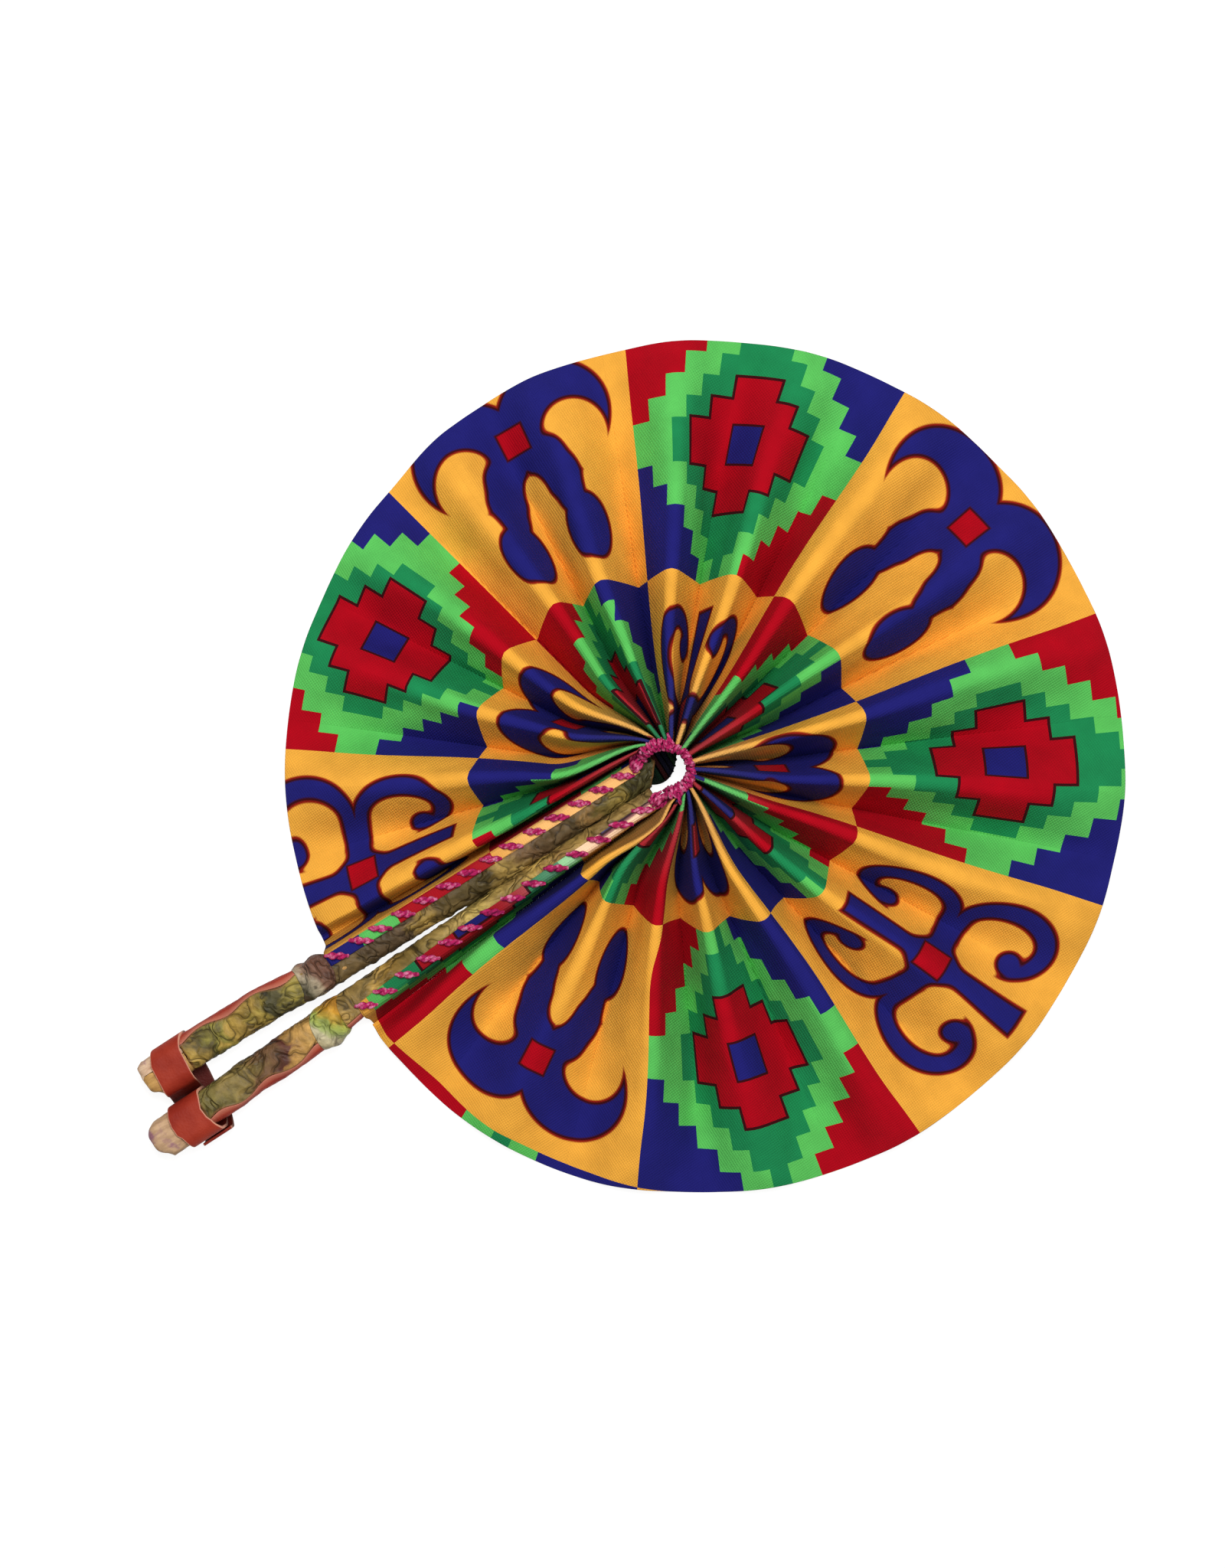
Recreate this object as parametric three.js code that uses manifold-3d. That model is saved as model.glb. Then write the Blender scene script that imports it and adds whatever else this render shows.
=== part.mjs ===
// A round folding hand fan of printed cloth, open and lying on a table, +Z up, in millimetres.
// The handle points along -Y. The leaf is one long strip of double cloth, pleated, gathered by
// yarn round a small ring at its inner edge and sewn at each end to a leather-covered stick.
import * as THREE from 'three';
import { mergeVertices } from 'three/addons/utils/BufferGeometryUtils.js';
import Module from 'manifold-3d';

const wasm = await Module();
wasm.setup();

// Driving dimensions of the leaf
const rimRadius = 164;
const rimOffsetX = 5.7;
const rimOffsetY = 13.3;
const pleatCount = 19;
const clothThickness = 0.6;
const rimWaveHeight = 6;
const creaseGap = 0.3;

// The ring where the pleats are gathered is an ellipse round the hub
const ringCentreX = -1.7;
const ringHalfWidth = 15;
const ringHalfLength = 12;
const ringFirstAngle = 218;
const ringLastAngle = -38;
const creaseInset = 1.5;

// Headings, in degrees from +X, of the first and last ridge and of the two sticks
const firstHeading = 264;
const lastHeading = -82.3;
const stickHeadingA = 269.05;
const stickHeadingB = -88.15;

// The yarn that draws the pleats together
const lacingThickness = 3.2;
const lacingScale = 0.73;
const lacingAboveFold = 0.4;
const lacingEndDrop = 7.5;

// Sticks, leather and straps
const leatherThickness = 0.8;
const strapThickness = 1.2;
const strapCorner = 4.4;
const fitGap = 0.3;
const stickTop = 14.9;
const stickBottom = 1.7;
const sectionPower = 3;
const flatBackShare = 0.86;
const splintWidth = 5.4;
const tipBevel = 1.2;
const rowSpacing = 18;
const hemWidth = 5.4;
const wrapThickness = 1;

// Edges of each leather-covered stick seen from above, from the hub to the leather's end:
// distance along -Y, edge towards the other stick, edge towards the cloth
const outlineA = [[8.5, 0.3, -11.2], [100, 0.2, -12.6], [150, -1.1, -13.3], [180, -2.9, -17], [213.5, -3.4, -18]];
const outlineB = [[9.5, 1.3, 7.7], [60, 1.3, 8.6], [100, 1.3, 11.2], [150, 2.2, 15], [180, 3.5, 18], [219.5, 5, 18.8]];
const bareEndA = { length: 236.5, near: -1.4, far: -17.3, bottom: 1.5 };
const bareEndB = { length: 247, near: 4.8, far: 20.5, bottom: 3 };
const flareLength = 14;

// Where things sit along the handle, as distances from the hub along -Y
const hemEnd = 151;
const wrapA = { start: 152.5, length: 12.5 };
const wrapB = { start: 158, length: 12 };
const keeperStart = 214;
const keeperWidth = 15.5;
const keeperSlant = 0.1;
const keeperFoldX = 23.7;
const bandStart = 220.5;
const bandWidth = 15.5;

// Whip stitching along each hem
const firstStitch = 7;
const stitchPitch = 10.1;
const stitchLength = 7.8;
const stitchRadius = 1;
const stitchSlant = 57;
const runThreadRadius = 0.45;

const degree = Math.PI / 180;
const lerp = THREE.MathUtils.lerp;
const smoothstep = THREE.MathUtils.smoothstep;

const materials = {
  leaf: new THREE.MeshStandardMaterial({ color: 0xefa835, roughness: 0.85, side: THREE.DoubleSide }),
  marbledLeather: new THREE.MeshStandardMaterial({ color: 0x8a7436, roughness: 0.55 }),
  redLeather: new THREE.MeshStandardMaterial({ color: 0xa83a28, roughness: 0.6 }),
  yarn: new THREE.MeshStandardMaterial({ color: 0xc2186b, roughness: 0.9 }),
  wood: new THREE.MeshStandardMaterial({ color: 0xc8a276, roughness: 0.75 }),
};

const weldDistance = 1e-3;
const fan = new THREE.Group();

function signedVolume(geometry) {
  const position = geometry.getAttribute('position');
  const index = geometry.getIndex();
  const corners = [new THREE.Vector3(), new THREE.Vector3(), new THREE.Vector3()];
  let volume = 0;
  for (let i = 0; i < index.count; i += 3) {
    corners.forEach((corner, k) => corner.fromBufferAttribute(position, index.getX(i + k)));
    volume += corners[0].dot(corners[1].cross(corners[2])) / 6;
  }
  return volume;
}

// Turns a closed mesh so that its faces point outwards
function faceOutwards(geometry) {
  if (signedVolume(geometry) > 0) return geometry;
  const index = geometry.getIndex().array;
  for (let i = 0; i < index.length; i += 3) {
    [index[i], index[i + 1]] = [index[i + 1], index[i]];
  }
  return geometry;
}

function addPiece(name, geometry, material) {
  geometry.computeVertexNormals();
  const piece = new THREE.Mesh(geometry, material);
  piece.name = name;
  fan.add(piece);
}

function welded(geometry) {
  geometry.deleteAttribute('normal');
  geometry.deleteAttribute('uv');
  return faceOutwards(mergeVertices(geometry, weldDistance));
}

function geometryFrom(points, triangles) {
  const geometry = new THREE.BufferGeometry().setFromPoints(points);
  geometry.setIndex(triangles);
  return faceOutwards(geometry);
}

// Closes the space between two grids of points, grid[row][column], into one thin solid.
// A closed grid joins its last column to its first.
function solidBetween(outer, inner, closed = false) {
  const rows = outer.length;
  const columns = outer[0].length;
  const points = [...outer.flat(), ...inner.flat()];
  const at = (layer, row, column) => layer * rows * columns + row * columns + (column % columns);
  const triangles = [];
  const quad = (a, b, c, d) => triangles.push(a, b, c, a, c, d);
  const spans = closed ? columns : columns - 1;
  for (let column = 0; column < spans; column++) {
    for (let row = 0; row < rows - 1; row++) {
      quad(at(0, row, column), at(0, row + 1, column), at(0, row + 1, column + 1), at(0, row, column + 1));
      quad(at(1, row, column), at(1, row, column + 1), at(1, row + 1, column + 1), at(1, row + 1, column));
    }
    for (const [row, first, second] of [[0, 0, 1], [rows - 1, 1, 0]]) {
      quad(at(first, row, column), at(first, row, column + 1), at(second, row, column + 1), at(second, row, column));
    }
  }
  if (!closed) {
    for (let row = 0; row < rows - 1; row++) {
      quad(at(0, row, 0), at(1, row, 0), at(1, row + 1, 0), at(0, row + 1, 0));
      quad(at(0, row, spans), at(0, row + 1, spans), at(1, row + 1, spans), at(1, row, spans));
    }
  }
  return geometryFrom(points, triangles);
}

// Joins rings of points into a rod with a fan of triangles over each end
function rodThrough(rings) {
  const sides = rings[0].length;
  const centre = (ring) => ring.reduce((sum, point) => sum.add(point), new THREE.Vector3()).divideScalar(sides);
  const points = [...rings.flat(), centre(rings[0]), centre(rings.at(-1))];
  const firstCentre = rings.length * sides;
  const triangles = [];
  for (let side = 0; side < sides; side++) {
    const next = (side + 1) % sides;
    for (let k = 0; k < rings.length - 1; k++) {
      const a = k * sides + side;
      const b = k * sides + next;
      triangles.push(a, a + sides, b + sides, a, b + sides, b);
    }
    const lastRing = (rings.length - 1) * sides;
    triangles.push(firstCentre, side, next);
    triangles.push(firstCentre + 1, lastRing + next, lastRing + side);
  }
  return geometryFrom(points, triangles);
}

// Creases of the leaf. Ridges are at whole numbers 1 to pleatCount, valleys half way between.
const lastRidge = pleatCount;

function ringPoint(crease, scale = 1) {
  const share = (crease - 1) / (lastRidge - 1);
  const angle = lerp(ringFirstAngle, ringLastAngle, share) * degree;
  return new THREE.Vector2(
    ringCentreX + scale * ringHalfWidth * Math.cos(angle),
    scale * ringHalfLength * Math.sin(angle),
  );
}

function heading(crease) {
  if (crease < 1) return (firstHeading + stickHeadingA) / 2;
  if (crease > lastRidge) return (lastHeading + stickHeadingB) / 2;
  return lerp(firstHeading, lastHeading, (crease - 1) / (lastRidge - 1));
}

// Each crease is a straight line from the ring to the trimmed rim
function creaseLine(crease) {
  const angle = heading(crease) * degree;
  const along = new THREE.Vector2(Math.cos(angle), Math.sin(angle));
  const start = ringPoint(crease).addScaledVector(along, -creaseInset);
  const toCentre = new THREE.Vector2(rimOffsetX, rimOffsetY).sub(start);
  const nearest = toCentre.dot(along);
  const reach = nearest + Math.sqrt(rimRadius ** 2 - (toCentre.lengthSq() - nearest ** 2));
  return { start, end: start.clone().addScaledVector(along, reach) };
}

function pointOn(line, share) {
  return line.start.clone().lerp(line.end, share);
}

// The height of a fold: sharp at the hub, a soft wave at the rim
function foldProfile(share, out) {
  const softness = smoothstep(share, 0.35, 1);
  return lerp(1 - out, (1 + Math.cos(Math.PI * out)) / 2, softness);
}

const foldRows = 9;
const foldSteps = 3;

// The cloth between a ridge and a valley is as wide at the hub as along the rim
function faceWidthAt(ridge) {
  const top = creaseLine(ridge);
  const widest = Math.max(...[-0.5, 0.5].map((half) => creaseLine(ridge + half).end.distanceTo(top.end)));
  return Math.hypot(widest, rimWaveHeight);
}

function pleat(ridge) {
  const top = creaseLine(ridge);
  const valleys = [creaseLine(ridge - 0.5), creaseLine(ridge + 0.5)];
  const faceWidth = faceWidthAt(ridge);
  const outer = [];
  const inner = [];
  for (let row = 0; row <= foldRows; row++) {
    const share = row / foldRows;
    const ridgePoint = pointOn(top, share);
    const reaches = valleys.map((valley) => pointOn(valley, share).sub(ridgePoint));
    const height = Math.sqrt(faceWidth ** 2 - Math.max(...reaches.map((reach) => reach.lengthSq())));
    const outerRow = [];
    const innerRow = [];
    for (let step = -foldSteps; step <= foldSteps; step++) {
      const reach = reaches[step < 0 ? 0 : 1];
      const width = reach.length() - creaseGap / 2;
      const slope = Math.hypot(width, height);
      const rise = (clothThickness * width) / slope;
      const innerWidth = width - (clothThickness * height) / slope;
      const innerHeight = height - (clothThickness * slope) / width;
      const out = Math.abs(step) / foldSteps;
      const profile = foldProfile(share, out);
      const side = reach.clone().normalize();
      const outerPoint = ridgePoint.clone().addScaledVector(side, width * out);
      const innerPoint = ridgePoint.clone().addScaledVector(side, innerWidth * out);
      outerRow.push(new THREE.Vector3(outerPoint.x, outerPoint.y, lerp(rise, height, profile)));
      innerRow.push(new THREE.Vector3(innerPoint.x, innerPoint.y, Math.max(innerHeight, height / 4) * profile));
    }
    outer.push(outerRow);
    inner.push(innerRow);
  }
  return solidBetween(outer, inner);
}

// Sticks. Every section is a rounded oblong with a flattened back.
function outlineAt(outline, along) {
  let k = 1;
  while (k < outline.length - 1 && outline[k][0] < along) k++;
  const share = (along - outline[k - 1][0]) / (outline[k][0] - outline[k - 1][0]);
  return {
    along,
    near: lerp(outline[k - 1][1], outline[k][1], share),
    far: lerp(outline[k - 1][2], outline[k][2], share),
    top: stickTop,
    bottom: stickBottom,
  };
}

// A point on a section: angle 0 faces the other stick, 90 faces up, 180 faces the cloth
function sectionPoint(section, angle, inset) {
  const halfWidth = (section.near - section.far) / 2;
  const halfHeight = (section.top - section.bottom) / 2 - inset;
  const bulge = (value) => Math.sign(value) * Math.abs(value) ** (2 / sectionPower);
  const rise = bulge(Math.sin(angle * degree));
  return new THREE.Vector3(
    (section.near + section.far) / 2
      + bulge(Math.cos(angle * degree)) * (halfWidth - Math.sign(halfWidth) * inset),
    -section.along,
    (section.top + section.bottom) / 2 + halfHeight * (rise < 0 ? Math.max(rise / flatBackShare, -1) : rise),
  );
}

const coreInset = leatherThickness + fitGap;
const sectionSides = 24;
const sideAngle = 360 / sectionSides;

function stations(from, to, count) {
  return Array.from({ length: count + 1 }, (_, k) => lerp(from, to, k / count));
}

// Rows along a stick fall on every corner of its outline
function rowsAlong(outline) {
  const rows = [outline[0][0]];
  for (let k = 1; k < outline.length; k++) {
    const from = outline[k - 1][0];
    const to = outline[k][0];
    rows.push(...stations(from, to, Math.ceil((to - from) / rowSpacing)).slice(1));
  }
  return rows;
}

function coreSections(outline, bareEnd) {
  const covered = rowsAlong(outline).map((along) => ({ ...outlineAt(outline, along), inset: coreInset }));
  const flareEnd = outline.at(-1)[0] + flareLength;
  const bare = (along, inset) => ({ ...bareEnd, along, top: stickTop, inset });
  return [...covered, bare(flareEnd, 0), bare(bareEnd.length - tipBevel, 0), bare(bareEnd.length, tipBevel)];
}

// A rod between two planes across the section, so that a split stick is two solids
function rodBetween(sections, lowest, highest) {
  const rings = sections.map((section) => Array.from({ length: sectionSides }, (_, side) => {
    const point = sectionPoint(section, side * sideAngle, section.inset);
    const far = section.far + Math.sign(section.near - section.far) * section.inset;
    const fromFar = Math.abs(point.x - far);
    const kept = THREE.MathUtils.clamp(fromFar, lowest, highest);
    point.x += Math.sign(section.near - section.far) * (kept - fromFar);
    return point;
  }));
  return rodThrough(rings);
}

const splitSections = coreSections(outlineA, bareEndA);
addPiece('stick_a', rodBetween(splitSections, splintWidth + fitGap, Infinity), materials.wood);
addPiece('stick_a_splint', rodBetween(splitSections, 0, splintWidth), materials.wood);
addPiece('stick_b', rodBetween(coreSections(outlineB, bareEndB), 0, Infinity), materials.wood);

// Leather covers are wrapped over part of the section
function leatherCover(outline, fromAngle, toAngle, edgeWave) {
  const rows = rowsAlong(outline);
  const angles = stations(fromAngle, toAngle, Math.round(Math.abs(toAngle - fromAngle) / sideAngle));
  const layer = (inset) => rows.map((along) => angles.map((angle, k) => {
    const wave = k === angles.length - 1 ? edgeWave * Math.sin(along / 9) : 0;
    return sectionPoint(outlineAt(outline, along), angle + wave, inset);
  }));
  return solidBetween(layer(0), layer(leatherThickness));
}

const seamAngle = 128;
const seamSpace = 5;
const underAngle = -52;
for (const [side, outline] of [['a', outlineA], ['b', outlineB]]) {
  addPiece(`face_leather_${side}`, leatherCover(outline, underAngle, seamAngle, 1.5), materials.marbledLeather);
  addPiece(
    `back_leather_${side}`,
    leatherCover(outline, 360 + underAngle - seamSpace, seamAngle + seamSpace, 1.5),
    materials.redLeather,
  );
}

// A crumpled scrap of leather is wound round each stick where the rim of the cloth ends
function rimWrap(outline, wrap, folds) {
  const rows = stations(wrap.start, wrap.start + wrap.length, 6);
  const angles = stations(0, 360 - sideAngle, sectionSides - 1);
  const lump = (along, angle) => 0.45 * Math.sin(angle * degree * folds + along) * Math.sin(along * 0.9);
  const layer = (lift, lumpy) => rows.map((along) => angles.map((angle) => {
    const swelling = lumpy ? Math.min(0.35, lump(along, angle)) : 0;
    return sectionPoint(outlineAt(outline, along), angle, -lift - swelling);
  }));
  return solidBetween(layer(fitGap + wrapThickness, true), layer(fitGap, false), true);
}

addPiece('rim_wrap_a', rimWrap(outlineA, wrapA, 3), materials.marbledLeather);
addPiece('rim_wrap_b', rimWrap(outlineB, wrapB, 2), materials.marbledLeather);

// The leaf
for (let ridge = 1; ridge <= pleatCount; ridge++) {
  addPiece(`pleat_${String(ridge).padStart(2, '0')}`, pleat(ridge), materials.leaf);
}

// Each end of the strip: a hem on top of the stick, then down its outer side to the first valley
const hemHeight = stickTop + fitGap;

function endPanel(outline, valley) {
  const line = creaseLine(valley);
  const start = outline[0][0] + 0.5;
  const outwards = Math.sign(outline[0][2] - outline[0][1]);
  const outer = [];
  const inner = [];
  for (const along of stations(start, hemEnd, 10)) {
    const section = outlineAt(outline, Math.min(along, outline.at(-1)[0]));
    const share = (line.start.y + along) / (line.start.y - line.end.y);
    const valleyX = pointOn(line, Math.min(Math.max(share, 0), 1)).x - (outwards * creaseGap) / 2;
    const side = section.far + outwards * fitGap;
    const path = [
      [section.far - outwards * hemWidth, hemHeight],
      [section.far - outwards * 1.4, hemHeight],
      [side, hemHeight - 1.6],
      [lerp(side, valleyX - outwards * clothThickness, 0.35), hemHeight * 0.45],
      [valleyX - outwards * clothThickness, 0],
    ];
    const push = [[0, 1], [0.35, 1], [1, 0.5], [1, 0.1], [1, 0]];
    const y = -along;
    inner.push(path.map(([x, z]) => new THREE.Vector3(x, y, z)));
    outer.push(path.map(([x, z], k) => new THREE.Vector3(
      x + outwards * push[k][0] * clothThickness,
      y,
      z + push[k][1] * clothThickness,
    )));
  }
  return solidBetween(outer, inner);
}

addPiece('end_panel_a', endPanel(outlineA, 0.5), materials.leaf);
addPiece('end_panel_b', endPanel(outlineB, pleatCount + 0.5), materials.leaf);

// Yarn: one stitch is a short rod with round ends, and a running thread joins the stitches
function asSolid(geometry) {
  const merged = welded(geometry);
  const index = merged.getIndex();
  return new wasm.Manifold(new wasm.Mesh({
    numProp: 3,
    vertProperties: new Float32Array(merged.getAttribute('position').array),
    triVerts: new Uint32Array(index.array),
  }));
}

function fromSolid(solid) {
  const mesh = solid.getMesh();
  const geometry = new THREE.BufferGeometry();
  geometry.setAttribute('position', new THREE.BufferAttribute(mesh.vertProperties, 3));
  geometry.setIndex(new THREE.BufferAttribute(mesh.triVerts, 1));
  return faceOutwards(geometry);
}

const yarnLevel = hemHeight + clothThickness + fitGap + stitchRadius;

function hemMiddle(outline, along) {
  const section = outlineAt(outline, along);
  return section.far - Math.sign(section.far - section.near) * (hemWidth / 2);
}

function whipStitches(outline) {
  const start = outline[0][0] + firstStitch;
  const count = Math.floor((hemEnd - start - stitchLength / 2) / stitchPitch);
  const end = start + count * stitchPitch;
  const threadPoints = [start, (start + end) / 2, end].map(
    (along) => new THREE.Vector3(hemMiddle(outline, along), -along, yarnLevel),
  );
  const round = new THREE.Shape().absarc(0, 0, runThreadRadius, 0, 2 * Math.PI, false);
  let solid = asSolid(new THREE.ExtrudeGeometry(round, {
    curveSegments: 3,
    steps: 8,
    bevelEnabled: false,
    extrudePath: new THREE.CatmullRomCurve3(threadPoints),
  }));
  for (let k = 0; k <= count; k++) {
    const along = start + k * stitchPitch;
    const stitch = new THREE.CapsuleGeometry(stitchRadius, stitchLength - 2 * stitchRadius, 2, 6);
    stitch.rotateZ((stitchSlant - 90) * degree);
    stitch.translate(hemMiddle(outline, along), -along, yarnLevel);
    solid = solid.add(asSolid(stitch));
  }
  return fromSolid(solid);
}

addPiece('whip_stitch_a', whipStitches(outlineA), materials.yarn);
addPiece('whip_stitch_b', whipStitches(outlineB), materials.yarn);

// The lacing runs round the ring above the inner ends of the pleats and dips to each hem
const lacingHeight = Math.min(...stations(1, lastRidge, lastRidge - 1).map(faceWidthAt)) + lacingAboveFold;

class LacingCurve extends THREE.Curve {
  getPoint(share, target = new THREE.Vector3()) {
    const crease = lerp(0.4, lastRidge + 0.6, share);
    const point = ringPoint(crease, lacingScale);
    const fromEnd = Math.min(share, 1 - share);
    const height = lacingHeight - lerp(lacingEndDrop, 0, smoothstep(fromEnd, 0, 0.1));
    return target.set(point.x, point.y, height);
  }
}

const lacingRound = new THREE.Shape().absarc(0, 0, lacingThickness / 2, 0, 2 * Math.PI, false);
const lacing = new THREE.ExtrudeGeometry(lacingRound, {
  curveSegments: 4,
  steps: 38,
  bevelEnabled: false,
  extrudePath: new LacingCurve(),
});
addPiece('hub_lacing', welded(lacing), materials.yarn);

// Two yarn ends stand out of the lacing: a knot on the left and a short tail on the right
function yarnKnot(crease, lift, length, turn) {
  const base = ringPoint(crease, lacingScale);
  const profile = [[0, 0], [1.3, 0.5], [1.7, 1.6], [1.1, 2.6], [0.7, 0.6 * length], [0.35, length], [0, length + 0.2]];
  const knot = new THREE.LatheGeometry(profile.map(([x, y]) => new THREE.Vector2(x, y)), 8);
  knot.rotateX(90 * degree);
  knot.rotateY(40 * degree);
  knot.rotateZ(turn * degree);
  knot.translate(base.x, base.y, lacingHeight + lift);
  return welded(knot);
}

const knotLift = lacingThickness / 2 + fitGap + 0.35;
addPiece('lacing_knot', yarnKnot(7, knotLift, 6, 120), materials.yarn);
addPiece('lacing_tail', yarnKnot(17, knotLift, 5, -25), materials.yarn);

// The straps. An outline across the handle is extruded along it and slanted.
function strap(shape, start, width, slant, middleX) {
  const geometry = new THREE.ExtrudeGeometry(shape, { depth: width, bevelEnabled: false, curveSegments: 6 });
  geometry.rotateX(90 * degree);
  geometry.translate(0, -start, 0);
  geometry.applyMatrix4(new THREE.Matrix4().makeShear(-slant, 0, 0, 0, 0, 0));
  geometry.translate(0, slant * middleX, 0);
  return welded(geometry);
}

function roundedRectangle(path, left, right, low, high, corner) {
  path.moveTo(left + corner, low);
  path.lineTo(right - corner, low);
  path.absarc(right - corner, low + corner, corner, -Math.PI / 2, 0, false);
  path.lineTo(right, high - corner);
  path.absarc(right - corner, high - corner, corner, 0, Math.PI / 2, false);
  path.lineTo(left + corner, high);
  path.absarc(left + corner, high - corner, corner, Math.PI / 2, Math.PI, false);
  path.lineTo(left, low + corner);
  path.absarc(left + corner, low + corner, corner, Math.PI, 1.5 * Math.PI, false);
  return path;
}

// The band is wound tight round the end of stick B
const bandHole = {
  left: bareEndB.near - fitGap,
  right: bareEndB.far + fitGap,
  low: bareEndB.bottom - fitGap,
  high: stickTop + fitGap,
};
const bandShape = roundedRectangle(
  new THREE.Shape(),
  bandHole.left - strapThickness,
  bandHole.right + strapThickness,
  bandHole.low - strapThickness,
  bandHole.high + strapThickness,
  strapCorner + strapThickness,
);
bandShape.holes.push(roundedRectangle(
  new THREE.Path(), bandHole.left, bandHole.right, bandHole.low, bandHole.high, strapCorner,
));
addPiece('keeper_band', strap(bandShape, bandStart, bandWidth, 0, 0), materials.redLeather);

// The keeper loops over the end of stick A and runs on behind stick B to a fold at its far side
const loopHole = {
  left: bareEndA.far - fitGap,
  right: bareEndA.near + fitGap,
  low: bareEndA.bottom - fitGap,
  high: stickTop + fitGap,
};

function keeperShape() {
  const outerCorner = strapCorner + strapThickness;
  const left = loopHole.left - strapThickness;
  const right = loopHole.right + strapThickness;
  const high = loopHole.high + strapThickness;
  const floor = loopHole.low - strapThickness;
  const flapTop = 9;
  const shape = new THREE.Shape();
  shape.moveTo(left + outerCorner, floor);
  shape.lineTo(keeperFoldX - outerCorner, floor);
  shape.absarc(keeperFoldX - outerCorner, floor + outerCorner, outerCorner, -Math.PI / 2, 0, false);
  shape.lineTo(keeperFoldX, flapTop);
  shape.lineTo(keeperFoldX - strapThickness, flapTop);
  shape.lineTo(keeperFoldX - strapThickness, floor + outerCorner);
  shape.absarc(keeperFoldX - outerCorner, floor + outerCorner, strapCorner, 0, -Math.PI / 2, true);
  shape.lineTo(right, floor + strapThickness);
  shape.lineTo(right, high - outerCorner);
  shape.absarc(right - outerCorner, high - outerCorner, outerCorner, 0, Math.PI / 2, false);
  shape.lineTo(left + outerCorner, high);
  shape.absarc(left + outerCorner, high - outerCorner, outerCorner, Math.PI / 2, Math.PI, false);
  shape.lineTo(left, floor + outerCorner);
  shape.absarc(left + outerCorner, floor + outerCorner, outerCorner, Math.PI, 1.5 * Math.PI, false);
  shape.holes.push(roundedRectangle(
    new THREE.Path(), loopHole.left, loopHole.right, loopHole.low, loopHole.high, strapCorner,
  ));
  return shape;
}

addPiece(
  'keeper_loop',
  strap(keeperShape(), keeperStart, keeperWidth, keeperSlant, loopHole.left),
  materials.redLeather,
);

// The origin is the middle of the fan's footprint, on the table
const box = new THREE.Box3().setFromObject(fan);
const middle = box.getCenter(new THREE.Vector3());
fan.position.set(-middle.x, -middle.y, -box.min.z);

export default fan;
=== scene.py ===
# %% [markdown]
# A round folding fan of printed cotton lies open on a table. The CAD model gives the sizes and the
# way it folds. This lesson dresses that model: first the scene, then the finishes, then each piece.

# %% Load the frame
import math

import bmesh
import bpy
from mathutils import Matrix, Vector, noise


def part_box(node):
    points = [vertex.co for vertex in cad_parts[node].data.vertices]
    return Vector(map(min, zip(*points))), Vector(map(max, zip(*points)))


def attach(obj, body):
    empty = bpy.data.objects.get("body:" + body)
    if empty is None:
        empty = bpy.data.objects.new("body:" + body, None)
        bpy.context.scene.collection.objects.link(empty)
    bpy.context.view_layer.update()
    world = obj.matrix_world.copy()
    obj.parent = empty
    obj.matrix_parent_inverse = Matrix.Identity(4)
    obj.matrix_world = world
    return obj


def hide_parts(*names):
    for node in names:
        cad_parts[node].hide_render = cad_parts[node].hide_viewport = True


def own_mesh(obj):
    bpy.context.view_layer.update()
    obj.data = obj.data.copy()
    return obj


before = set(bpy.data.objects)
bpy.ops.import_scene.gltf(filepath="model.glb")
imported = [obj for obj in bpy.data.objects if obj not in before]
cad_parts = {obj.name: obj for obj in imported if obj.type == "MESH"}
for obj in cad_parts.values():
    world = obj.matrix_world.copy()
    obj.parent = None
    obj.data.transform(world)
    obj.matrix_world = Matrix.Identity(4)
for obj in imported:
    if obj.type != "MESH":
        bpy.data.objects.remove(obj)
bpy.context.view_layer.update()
print("CAD nodes:", len(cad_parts))

# %% [markdown]
# All measures below are in millimetres from the hub, with the handle along -Y. The frame puts its
# origin under the middle of the fan, so the hub's place is worked out from two pieces of known reach.

# %% Sizes
MM = 0.001
KEEPER_REACH = 23.7  # across, from the hub to the keeper's fold
STICK_REACH = 247  # down, from the hub to the end of the right stick
stick_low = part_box("stick_b")[0]
loop_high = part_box("keeper_loop")[1]
HUB = Vector((loop_high.x - KEEPER_REACH * MM, stick_low.y + STICK_REACH * MM, 0))

RIM_RADIUS = 164
RIM_CENTRE = Vector((5.7, 13.3))
PLEATS = 19
CLOTH = 0.6  # two thin cottons sewn together
RIM_WAVE = 6  # height of a ridge at the rim
RING_CENTRE_X = -1.7
RING_HALF = (15, 12)
RING_ANGLES = (218, -38)  # of the first and the last ridge, on the lacing ring
EDGE_HEADINGS = (265.9, -83.2)  # of the first and the last ridge, on the leaf
CREST_ANGLES = [
    256.5, 239.2, 218.8, 201, 182, 166, 146, 128.7, 111.5, 92, 74, 54.5, 37.5, 19.5, 0, -19.5, -36.8, -58.5,
    -76.5,
]
STICK_HEADINGS = (269.05, -88.15)  # of the two sticks
CREASE_INSET = 3.5  # how far inside the lacing ring a crease starts
CROWN_RADIUS = 0.8
HUB_HEIGHT = 26.5
HEM_END = 151  # down, from the hub to the end of both hems
STICK_TOP = 14.9
STICK_BOTTOM = 1.7

# Distance from the hub, edge towards the other stick, edge towards the cloth
OUTLINES = {
    "a": [
        (8.5, 1.0, -11.2), (88, 1.0, -12.4), (100, 0.3, -12.6), (150, -0.9, -13.3), (180, -2.8, -17),
        (217.5, -3.5, -18),
    ],
    "b": [
        (9.5, 1.1, 9.0), (60, 1.1, 9.6), (88, 1.2, 10.8), (100, 1.6, 11.4), (150, 2.4, 15), (165, 2.9, 17.3),
        (180, 3.3, 18.2), (190, 3.7, 18.5), (200, 4.0, 17.9), (210, 4.4, 18.9), (223.5, 4.9, 18.6),
    ],
}
OUTWARDS = {"a": -1, "b": 1}  # the side of a stick that the cloth is on


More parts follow.
